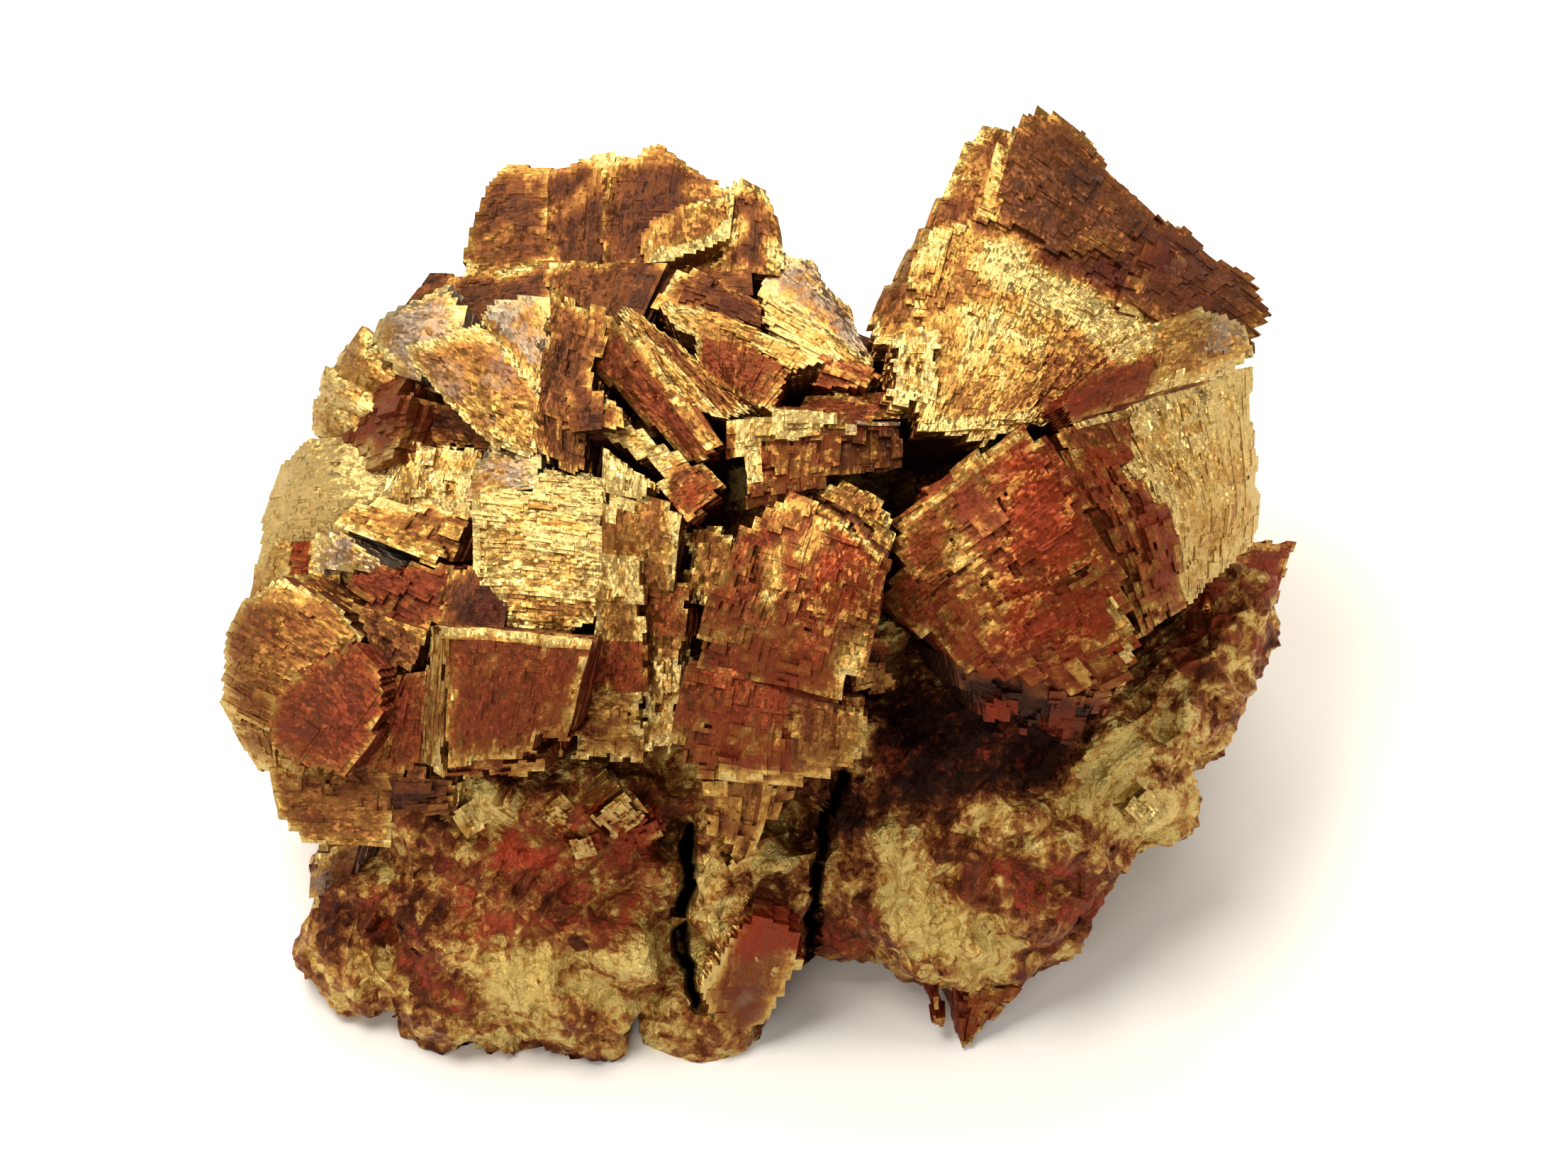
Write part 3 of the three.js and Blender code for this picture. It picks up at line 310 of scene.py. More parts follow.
        "bridge_shelf": crystal((0.6, 12, 4.6), (9.4, 12, 2), (9, 14.2, 0.6), (1.6, 14, 2), "across",
            "laminated", "brown", 0.2, root=(5, 15, -12)),
    },
    "inner_columns": {
        "column_red": crystal((-13.2, 0.1, 2.6), (-7.6, -0.3, 3.8), (-6.7, 5.7, 4), (-13, 7.7, 2.6),
            "up", "terraced", "bronze", 0.5,
            outline=[(-12.9, 5.8), (-12.4, 6.3), (-9.6, 6.6), (-8, 5.9), (-7.1, 4.9), (-7, 3.9),
                (-7.7, 1.4), (-8.4, -0.2), (-12.8, 0.4), (-13.1, 3)],
            plates=[([(-12.8, 6), (-12.6, 4.8), (-10.4, 5.6), (-9.6, 6.7),
                (-12.4, 6.5)], 0.15, "pale")]),
        "column_gold": crystal((-14.6, -8, 1.6), (-10, -7.6, 3.2), (-9.8, 2.4, 4.4), (-13.2, 2.8, 3),
            "up", "stepped", "brass", 0.3,
            plates=[([(-13.4, 2.8), (-9.8, 2.4), (-9.9, -1.4), (-12.4, -0.6)], 0.3, "gold"),
                ([(-14.6, -4), (-10, -3.6), (-10, -8), (-14.8, -8)], -0.2, "russet")]),
        "column_inner": crystal((-10.8, -12.2, 0.4), (-8.4, -12, 1.6), (-6.4, 0.4, 3.4),
            (-10, 0.8, 2.4), "up", "stepped", "brass", 0.3,
            plates=[([(-10, -2), (-8.8, 0.6), (-6.6, 0), (-7, -4), (-9, -4)], 0.35, "brown")]),
        "column_dark": crystal((-7.4, -1.2, 1), (-4.4, -1.6, 2), (-3.4, 4.2, 2.4), (-7, 4.5, 1.4), "up",
            "splintery", "bronze", 0.2),
        "column_base": crystal((-15.6, -12.4, -1.2), (-10.4, -12.6, 1), (-10.4, -7, 2),
            (-15.2, -7, 0.6), "across", "stepped", "bronze", 0),
    },
    "left_plates": {
        "bright_plate": crystal((-22.6, -3.6, -0.4), (-13.2, -4.2, 1.8), (-12.1, 6.2, 1.7),
            (-23.2, 8.1, -2.3), "across", "rippled", "straw", 0.9,
            outline=[(-22.9, 6.8), (-20, 7.3), (-17, 6.9), (-13.2, 5.6), (-12.7, 3), (-12.8, 0.8),
                (-13.8, -2.4), (-16, -3.4), (-20, -3), (-21, -0.6), (-22.7, 1.2)],
            plates=[([(-23, 7), (-22.2, 7), (-22, 1), (-22.8, 1)], 0.25, "pale"),
                ([(-21, -3.4), (-13.6, -3.6), (-13.8, -0.8), (-17, -1.2), (-20, 0.2)], -0.2, "brass")]),
        "bright_plate_lip": crystal((-18.8, 5.2, 0), (-12.8, 4.8, 1.8), (-13.2, 8.1, 0.8),
            (-17.9, 8.6, -1), "across", "rippled", "pale", 0.2),
        "square_block": crystal((-25.2, -12.9, 2.2), (-15.8, -12.6, 3.6), (-13.4, -3.6, 5.3),
            (-25, -2.3, 3.2), "up", "satin", "brown", 0.5,
            outline=[(-24.9, -2.7), (-20, -3), (-13.7, -3.9), (-14.6, -7), (-15.5, -11), (-17.6, -10.6),
                (-18.6, -12.4), (-24.4, -12.8)],
            plates=[([(-17.5, -3.2), (-13.5, -3.8), (-15.4, -11.2), (-17.9, -10)], 0.25, None),
                ([(-25, -2.6), (-13.6, -3.8), (-13.8, -4.6), (-24.8, -3.5)], 0.15, "brass")]),
        "square_block_bevel": crystal((-26.4, -12.6, 0.2), (-24.8, -13.6, 2.2), (-24.4, -2.8, 3.2),
            (-25.8, -2.6, 1.2), "up", "laminated", "brass", 0),
        "square_block_foot": crystal((-26, -14, -0.6), (-17, -13.6, 1), (-17, -11.6, 2.4),
            (-26, -11.8, 1), "across", "splintery", "brown", 0.2),
    },
    "far_left_blocks": {
        "left_block": crystal((-39.9, -10.7, -6.6), (-32.2, -14.6, -1.1), (-27.1, -8, 0),
            (-33.5, -1.8, -2.9), "across", "smooth", "chestnut", 0.4,
            outline=[(-34.8, -5.6), (-31.4, -4), (-29.6, -6), (-29.2, -9.2), (-32.2, -13.6),
                (-36, -12.6), (-38.2, -10.8), (-37.4, -7.4)]),
        "left_ridge": crystal((-44, -8.4, -10.9), (-37.2, -11.5, -6.3), (-30.2, -3.2, -2.9),
            (-38.2, 2.8, -9.1), "across", "laminated", "bronze", 1.2,
            outline=[(-41.5, -9), (-41.4, -6.2), (-41, -3.2), (-39.8, -1), (-37.2, 0.6), (-33.6, -0.8),
                (-31, -4), (-35.4, -6.4), (-38.2, -10.4), (-40.4, -9.6)],
            plates=[([(-37.4, -3.4), (-33.6, -2.2), (-31.6, -4), (-35, -5.6)], 0.2, None)]),
        "left_corner": crystal((-39.2, -13.2, -9.3), (-35.4, -14.2, -6), (-34, -8, -4.6),
            (-42.2, -8.4, -10.6), "across", "stepped", "brass", 0.2),
        "left_inner_slats": crystal((-31, -13.4, -3.4), (-26, -13.6, -1.6), (-25.4, -5.6, -0.6),
            (-28.4, -6.2, -1.6), "up", "splintery", "brown", 0),
        "left_foot": crystal((-36.9, -19.5, -6.7), (-28.6, -20.3, -4.5), (-27.9, -12.6, -2.8),
            (-38.6, -12.4, -7.4), "across", "stepped", "bronze", 0.5,
            outline=[(-38, -12.8), (-37.8, -15.4), (-36.4, -17.6), (-34, -19), (-28.6, -19),
                (-28.6, -12.6)]),
        "left_foot_inner": crystal((-29.4, -18.4, -4.6), (-24.3, -16.8, -2.6), (-23.6, -13.2, -0.8),
            (-29.5, -12.6, -3), "across", "splintery", "umber", 0.3),
        "left_splinter": crystal((-35.2, -24, -10.4), (-32.4, -23, -9.2), (-31.2, -18.6, -7.2),
            (-34.8, -18.8, -8.8), "up", "smooth", "steel", 0.2),
        "shard_upper": crystal((-33.7, 4.3, -6), (-24, 1.3, -2.6), (-22.5, 5.2, -2.9),
            (-29.8, 7.7, -6.5), "across", "splintery", "bronze", 0.2,
            outline=[(-32.8, 4.4), (-29, 3.4), (-25.6, 1.8), (-23.4, 3.2), (-23.6, 5.6), (-31, 6.4)]),
        "shard_pale": crystal((-35.8, 1.2, -7), (-28.9, 0.5, -3.7), (-29.4, 2.4, -4.2),
            (-34.8, 5.1, -7.4), "across", "satin", "pearl", 0.3,
            outline=[(-34.6, 4), (-32.4, 3.9), (-29.2, 1.6), (-29.2, 0.9), (-31, 1.2), (-35, 1.2)]),
        "shard_red": crystal((-33.4, -0.6, -5.6), (-25.9, -4.7, -1.3), (-22.6, 1.4, -1.9),
            (-29.9, 3.5, -4.9), "across", "splintery", "chestnut", 0.2,
            outline=[(-32.6, 0.2), (-28.8, 1.8), (-25, 2), (-23, 1.2), (-24.2, -1.4), (-26, -3.2),
                (-29, -2.4)]),
        "shard_low": crystal((-32.9, -3.1, -4.7), (-26.6, -7.4, -1.2), (-25.4, -1.8, -1),
            (-32.1, -0.3, -4.3), "across", "stepped", "umber", 0.2,
            outline=[(-32.2, -0.8), (-28.6, -2), (-26, -2.8), (-26.2, -4), (-27.2, -6.4), (-30, -5)]),
        "shard_inner": crystal((-26, -3.4, -1), (-20.4, -3.4, 0.6), (-19.8, 1.6, -0.2),
            (-24.6, 2, -1.8), "up", "stepped", "umber", 0.2),
        "west_shoulder": crystal((-39.6, 2.8, -14), (-28.6, 3.2, -6.7), (-26.9, 11.1, -6.8),
            (-36.9, 11.1, -13), "across", "satin", "pale", 1.5,
            outline=[(-38.8, 3), (-38.8, 6), (-37.8, 9), (-35, 11.2), (-30, 11.2), (-28, 10),
                (-28, 6.6), (-31, 6), (-31.6, 4.4), (-34.4, 3.2)]),
        "west_knob": crystal((-39.9, -2.4, -14), (-33, -2.2, -9), (-33.2, 4, -9.4), (-38.9, 3.9, -13.4),
            "across", "satin", "gold", 0.8,
            plates=[([(-36.6, 4), (-35.4, 4), (-35.4, 1), (-36.8, 1)], -0.15, "rust")]),
        "west_inner": crystal((-30, 5.2, -6.2), (-22.6, 5, -3.2), (-22.3, 10.2, -4.2), (-29, 10.8, -7),
            "up", "stepped", "brass", 0.4),
        "west_facet": crystal((-23.4, 6.4, -2.8), (-17.6, 6.8, -0.6), (-17.6, 10, -2),
            (-22.4, 10.8, -4.2), "across", "smooth", "pearl", 0.2),
    },
    "upper_left_leaves": {
        "leaf_cream": crystal((-25.6, 11.6, -4.6), (-17.6, 8.3, -1.5), (-16.7, 17.5, -3.2),
            (-29.8, 21.5, -9.6), "across", "satin", "cream", 0.9,
            outline=[(-17.5, 14.8), (-17.5, 10.4), (-18.6, 9.5), (-21.4, 10.5), (-23.6, 12.4),
                (-25.4, 14.2), (-27.4, 16.2), (-28, 17.6), (-25.2, 18.2), (-22.6, 19.2), (-20, 17.6)],
            plates=[([(-22, 12.6), (-18.4, 13.6), (-21, 15.6), (-24, 17), (-25.6, 16)], 0.12, "cream"),
                ([(-20, 10.4), (-18, 11.4), (-18.6, 13.2), (-22, 11.8)], 0.12, "gold")]),
        "leaf_grey": crystal((-21, 14.6, -3.8), (-16.8, 13.6, -2), (-17.2, 21.6, -6), (-23.6, 22, -8),
            "up", "smooth", "pearl", 0.7,
            outline=[(-22.4, 19.4), (-21.8, 20.8), (-19.6, 21.4), (-17.5, 21.2), (-17.5, 14.2),
                (-18.8, 15), (-20.6, 16.8)],
            plates=[([(-22.8, 19.2), (-22.2, 20.2), (-17.4, 14.8), (-17.4, 13.8),
                (-18.9, 14.8)], 0.12, "brass")]),
        "leaf_blue": crystal((-31.8, 17.1, -10.8), (-24.6, 14.4, -6.6), (-22.4, 23.3, -9.5),
            (-29.6, 22, -12.5), "across", "smooth", "pearl", 1,
            outline=[(-30.6, 18.4), (-29.6, 20.2), (-27, 21.6), (-24.8, 22.8), (-23.4, 20.4),
                (-23.8, 17.8), (-26, 15.4), (-28.6, 16)]),
        "leaf_back": crystal((-29.6, 18.6, -11.8), (-17.2, 19.8, -7.8), (-16.8, 23.5, -9.8),
            (-26.2, 23.7, -12.8), "across", "satin", "drab", 0.3),
        "leaf_hollow": crystal((-29.6, 10.6, -9), (-20.6, 9.8, -4.4), (-23.4, 13.4, -6.4),
            (-29.4, 15.4, -10), "across", "stepped", "umber", 0.2),
        "rim_ridge_low": crystal((-35, 11, -13), (-27.8, 9.6, -8.4), (-27.4, 12.2, -8.6),
            (-34.8, 14.4, -13.6), "across", "laminated", "gold", 1),
        "rim_ridge_mid": crystal((-34.6, 13.4, -13.6), (-28.4, 11, -8.6), (-28, 13.6, -9),
            (-34, 16.4, -14), "across", "laminated", "gold", 1),
        "rim_ridge_top": crystal((-34, 15.8, -14), (-28.4, 13, -9), (-26.6, 15.6, -9),
            (-31.2, 19.4, -14), "across", "laminated", "brass", 1),
        "blade_lilac": crystal((-2.9, 21.1, -5.6), (7.1, 15.3, -1.3), (5.5, 19.7, -4.7),
            (1.2, 25.8, -8.3), "across", "satin", "pearl", 0.5,
            outline=[(0, 24.3), (2.2, 23.8), (3, 22), (4.8, 20.4), (5, 19), (6.6, 16.6), (3.5, 18),
                (0.6, 20.4), (-1.4, 22.4)]),
        "blade_edge_yellow": crystal((-3.4, 20, -3), (6.6, 14, 1.3), (6.8, 16.8, -1),
            (-1.2, 23.5, -5.3), "across", "laminated", "gold", 0.4,
            outline=[(-1.6, 22.6), (1, 20.4), (3.4, 18.5), (6.4, 16.6), (6.2, 15), (4, 15.8), (1, 17.4),
                (-1.6, 19.6)]),
        "blade_under_yellow": crystal((0.6, 15, 0.4), (6, 13.4, 2), (7.4, 15.4, 0.6), (2.6, 17.8, -1.6),
            "across", "splintery", "brown", 0.2),
        "blade_rear": crystal((-9.8, 20.4, -3.6), (-1.2, 18.2, -0.4), (-1.4, 20.6, -1.8),
            (-7.6, 24, -6), "across", "scaly", "bronze", 0.4,
            plates=[([(-7.2, 22.2), (-6, 22.6), (-1.2, 19.6), (-1.4, 19),
                (-4.4, 19.6)], 0.3, "umber")]),
        "blade_block": crystal((-6.6, 15.4, 1), (-1.2, 12.2, 4.6), (3.7, 16.5, 3.9),
            (-10.2, 22.1, -3.7), "across", "ribbed", "brass", 0.6,
            outline=[(-6.2, 15.8), (-3.4, 13.6), (-1, 12.6), (0.3, 15.4), (2.8, 16.1), (0, 17.6),
                (-3.4, 19.3), (-6.4, 20.4), (-9.4, 20.8), (-7.6, 18.6), (-6.4, 18.2)],
            plates=[([(-6.2, 15.8), (-3.4, 13.6), (-1, 12.6), (0.3, 15.4), (-3, 17.4),
                (-5.8, 18)], 0.15, "brown"),
                ([(0.3, 15.5), (2.8, 16.1), (-3.4, 19.3), (-5.4, 19.4)], 0.3, "brass")]),
        "blade_grey": crystal((-7.2, 13.2, 1.4), (-0.6, 11.1, 5), (-7, 18.8, -1.1), (-13.3, 21.3, -4.4),
            "up", "laminated", "bronze", 0.5,
            outline=[(-4.2, 12.3), (-2, 12.7), (-5, 15.4), (-8, 18), (-11.6, 20.6), (-12.4, 20.2),
                (-9, 17), (-6.6, 14)]),
        "blade_edge_gold": crystal((-7, 12.4, 2.4), (-3.8, 12, 4.2), (-9.6, 18.5, -0.5),
            (-13.3, 20.5, -3.6), "up", "laminated", "brass", 0.4,
            outline=[(-6.4, 12.7), (-4, 12.2), (-7.6, 16), (-11, 19.2), (-12.4, 19.4), (-9, 16)]),
        "blade_brown": crystal((-8, 7.9, 2), (-3.8, 9.6, 5.1), (-11.2, 20.9, -1.6), (-16.1, 17.7, -3.9),
            "up", "laminated", "brown", 0.8,
            outline=[(-12.6, 19.8), (-10, 17.6), (-6.6, 13.4), (-5.8, 12.4), (-4.4, 10.4), (-5, 9.8),
                (-6.1, 8.8), (-8.4, 10.4), (-10, 12.2), (-12, 14.4), (-14.8, 16.2), (-14, 18.6)],
            plates=[([(-6.6, 13.2), (-4.4, 10.5), (-4.9, 9.8), (-5.8, 10.4),
                (-8.4, 14)], 0.15, "brass")]),
        "blade_stepped": crystal((-7.8, 3.7, 3.5), (-3.6, 6.9, 4), (-9.8, 14.2, 1.1), (-16.2, 14, -1.9),
            "across", "scaly", "bronze", 0.4,
            outline=[(-13.6, 14), (-12, 12.6), (-9.2, 10.4), (-6.2, 9), (-4.4, 7), (-5.6, 5.6),
                (-6.7, 4.6), (-8, 6.6), (-9.6, 9), (-12.6, 10.6), (-14.2, 11.6)],
            plates=[([(-7.6, 6.4), (-6.4, 8.6), (-4.4, 7), (-6.7, 4.6)], 0.3, "russet")]),
        "blade_gap_cubes": crystal((-13.6, 11.6, 1.4), (-10.8, 10.8, 2.6), (-11, 13, 1.2),
            (-13.4, 14.2, 0), "up", "stepped", "brass", 0),
        "bright_chip": crystal((-13.4, 6.2, 2.6), (-9.2, 5.8, 4.4), (-8.8, 8.6, 4), (-13.2, 10.8, 1.6),
            "up", "satin", "pale", 0.3,
            outline=[(-12.9, 9.8), (-9.8, 8), (-9.2, 7.5), (-9.9, 6.4), (-11, 6.6), (-13.1, 7)]),
        "pillar": crystal((-18, 9.4, -1.4), (-14.4, 7.8, 1), (-12.6, 20.4, -2.2), (-17.8, 21.8, -5),
            "up", "stepped", "drab", 0.4),
        "pillar_cube": crystal((-15.8, 11.2, 1.4), (-13, 11.4, 2.2), (-12.9, 14.6, 1.4),
            (-15.7, 14.4, 0.6), "up", "smooth", "umber", 0),
        "pillar_head": crystal((-18, 17.6, -4.8), (-11.4, 17.8, -2), (-8.4, 23.8, -6.2),
            (-17.8, 24.2, -8.4), "up", "satin", "drab", 0.8),
    },
    "rear_heads": {
        "rear_cube": crystal((-24, 22.4, -12.1), (-16, 22.2, -10), (-16.4, 32, -13.4),
            (-23.1, 32, -15.3), "across", "satin", "drab", 0.8,
            outline=[(-23.6, 23), (-18, 23.2), (-16.4, 23), (-16.6, 27), (-17.2, 31.4), (-20.6, 31.8),
                (-22.2, 30), (-23.2, 27), (-23.7, 25)]),
        "rear_column": crystal((-17.8, 21.9, -9.6), (-12.6, 21.9, -8.3), (-12.1, 33, -12.8),
            (-17.4, 32.6, -13.6), "up", "laminated", "umber", 0.4,
            outline=[(-17.6, 22), (-12.6, 22), (-12.6, 32.3), (-14, 32.3), (-15.4, 31.8), (-16.4, 31.3),
                (-17.4, 31.3)]),
        "rear_block": crystal((-13.8, 22.6, -7.4), (-3.8, 23, -6.1), (-3.2, 30.7, -9.7),
            (-13.4, 32.8, -11.8), "up", "satin", "umber", 1.1,
            outline=[(-13.2, 23), (-10, 23.8), (-8, 23.9), (-4, 25.4), (-3.4, 28.9), (-6, 30.3),
                (-8, 31.4), (-12.6, 32), (-13.4, 29)],
            plates=[([(-10, 23.4), (-7.6, 23.4), (-3.8, 25.2), (-3.4, 28.8), (-6.6, 28.2), (-9.4, 27),
                (-10.4, 25.4)], 0.4, "bronze")]),
        "rear_peak": crystal((-13, 27.6, -11.5), (-5.2, 27.4, -10.3), (-6, 31.7, -12.7),
            (-10.6, 34.4, -13.9), "across", "satin", "drab", 0.4,
            outline=[(-11.6, 31.4), (-10.5, 32.6), (-9.4, 32.8), (-7.4, 31.2), (-5.8, 30.3), (-7.2, 28),
                (-12, 28)]),
        "rear_tooth": crystal((-5.3, 22.6, -6.4), (0.6, 22.2, -6), (-0.5, 28.9, -9.2), (-4.1, 31, -10),
            "up", "laminated", "drab", 0.5,
            outline=[(-4.6, 23.4), (0, 23), (0, 25.7), (-0.8, 27.8), (-1.5, 29.2), (-3, 30.1),
                (-4.3, 29.3)]),
        "rear_shelf": crystal((-18, 21.4, -8.6), (-2, 21.6, -5), (-2.4, 24.2, -7), (-18, 24, -10),
            "across", "satin", "drab", 0.3),
    },
    "rim_teeth": {
        "flat_facet": crystal((-7, -34.9, -11.6), (0.4, -33.5, -12.7), (2.5, -24.7, -4.7),
            (-5.4, -22.8, -2.6), "up", "smooth", "rose", 0.2,
            outline=[(-4.2, -34.3), (-1.2, -31.9), (1.2, -28), (1.5, -25.4), (-1.6, -23.8),
                (-4.2, -26.6), (-6.2, -29.6)]),
        "rim_tooth": crystal((13.1, -34, -12.6), (13.9, -34, -12.8), (18.2, -28.8, -11.6),
            (12, -27.6, -10), "up", "splintery", "russet", 0.2),
        "rim_tooth_small": crystal((11, -32.2, -13.2), (11.7, -32.2, -13.2), (12.2, -27.6, -10.4),
            (9.8, -28, -10.6), "up", "splintery", "russet", 0.1),
        "east_block": crystal((30.8, -2.4, -8.4), (37, -1.2, -13), (38.4, 3.4, -14), (32.4, 4, -9.6),
            "across", "smooth", "russet", 0.4),
        "south_east_block": crystal((26.6, -18.8, -12.6), (30.8, -15.6, -14.4), (30.2, -13, -13),
            (25, -14.8, -9.2), "across", "satin", "gold", 0.3),
    },
}

# The heart that the crystals root in and the lumps of massive pyrite: centre and half sizes, face frame.
LUMPS = [
    ((-3, -5, -20), (32, 19, 17)),
    ((-14, 9, -20), (13, 14, 14)),
    ((20, 8, -19), (11, 13, 13)),
    ((-19.5, -22.2, -13.4), (13.2, 12, 10.5)),
    ((-30, -24.2, -15), (5.7, 6.4, 7.5)),
    ((-32, -28, -15), (4.2, 4.2, 4.6)),
    ((-24.2, -29.8, -15), (4.9, 4.9, 5.4)),
    ((-16.2, -28.2, -13.6), (6.6, 5.1, 6)),
    ((-2.4, -21.2, -13), (7.4, 7.6, 9)),
    ((-6.4, -31, -14.4), (4.2, 4.2, 4.6)),
    ((4.4, -23.2, -14.4), (5, 4.6, 5)),
    ((12, -17.6, -13), (12.8, 11.6, 10.5)),
    ((13.4, -25, -14.2), (7.6, 5.8, 6.6)),
    ((22.2, -13.4, -12.6), (8.6, 8.2, 8)),
    ((28.9, -7.6, -12.6), (5.5, 4.9, 6.4)),
    ((33, -2.2, -13), (3.8, 5.6, 5.4)),
    ((10, -12, -9), (9.5, 6.5, 8)),
    ((-17.5, -14.8, -7), (8.6, 4.6, 6)),
    ((-25, -17.8, -8.8), (5.2, 4, 5.6)),
]
# These close the back: the same, in the part's frame.
REAR_LUMPS = [
    ((-19, 12, 10), (15, 13, 15)),
    ((-2, 17, 7), (13, 9, 10)),
    ((16, 13, 10), (16, 13, 15)),
]
# Slow waves in the size of each lump: how strong, radians per millimetre along x, y and z, and phase.
LUMP_WAVES = [(0.06, (0.55, 0.9, 0), 1.3), (0.05, (0, 0.8, -0.7), 0.4), (0.07, (2.3, -1.7, 2.9), 0)]

# Swells on the rock: how high, their size, and their salt. Then its grains, from coarse to fine: their
# size, their salt, how far a grain stands out and how far its facet tips. Then how far it all sinks.
ROCK_SWELLS = [(0.6, 7.0, 1), (0.45, 3.2, 2), (0.3, 1.6, 3)]
ROCK_GRAINS = [(3.6, 11, 0.12, 0.25), (1.5, 31, 0.1, 0.24), (0.8, 51, 0.06, 0.16)]
ROCK_SINK = 0.15
GRAIN_STRAY = 0.42  # how far a grain's middle strays from its cell's, in cells
# Crust and rust stains on the rock: how much there is, and how much swells, grains and the strokes change
# it; some strokes paint highlights and shadows instead.
CRUST, CRUST_GRAIN, CRUST_SWELL = 0.42, 0.16, (0.25, 4.0, 5)
STAIN, STAIN_GRAIN, STAIN_SWELL, STAIN_FROM_STROKES = 0.1, 0.2, (0.25, 2.0, 6), 0.5

# Small cubes half sunk in the lumps: place, edge, turns about u and w in degrees, and finish.
CUBES = [
    ((-12.8, -15.9, -2.1), 3.0, (35, 40), "yellow"),
    ((-16.8, -16.2, -2.2), 2.7, (38, 40), "yellow"),
    ((-19.6, -15.6, -2), 2, (30, 60), "brass"),
    ((-15, -18.6, -2.9), 1.6, (25, 15), "yellow"),
    ((-23, -16.4, -4), 2.4, (15, 30), "gold"),
    ((-10.4, -17.2, -3.6), 1.9, (40, 20), "bronze"),
    ((26, -15.6, -6.6), 2.2, (25, 50), "brass"),
    ((18.6, -18.8, -4.8), 1.7, (20, 70), "bronze"),
    ((-29.6, -25, -8.8), 1.8, (30, 55), "bronze"),
    ((-22.4, -26.6, -4.8), 1.8, (25, 10), "brown"),
    ((-3.4, -19.4, -4.2), 1.8, (30, 35), "brass"),
]
# A cube's open sides: the directions of its width, its height and outwards.
CUBE_SIDES = [
    ((1, 0, 0), (0, 1, 0), (0, 0, 1)),
    ((0, 0, -1), (1, 0, 0), (0, -1, 0)),
    ((0, 0, 1), (0, 1, 0), (-1, 0, 0)),
    ((0, 0, -1), (0, 1, 0), (1, 0, 0)),
    ((0, 0, 1), (1, 0, 0), (0, 1, 0)),
]
CUBE_INSET, CUBE_ROOT = 0.98, 1.2  # how far out a side stands and how deep its root lies, in half edges

# The fissures between the lower lobes, as u, v along each.
FISSURES = [
    [(-7, -17.6), (-7.2, -20), (-7, -22), (-7.6, -24), (-7.6, -27), (-7, -29.4), (-6.4, -31.4)],
    [(4.6, -13.6), (3.1, -17), (2.7, -20), (2.2, -23.6), (1.8, -27.4)],
]
FISSURE_DEPTH = 6.0
FISSURE_HALF = 0.33  # half its width
FISSURE_WANDER = (1.6, 0.35, 71)  # size, how far, and salt
FISSURE_BACK, FISSURE_FACING = -16, -0.2  # how far back they reach, and how far round a lump's side

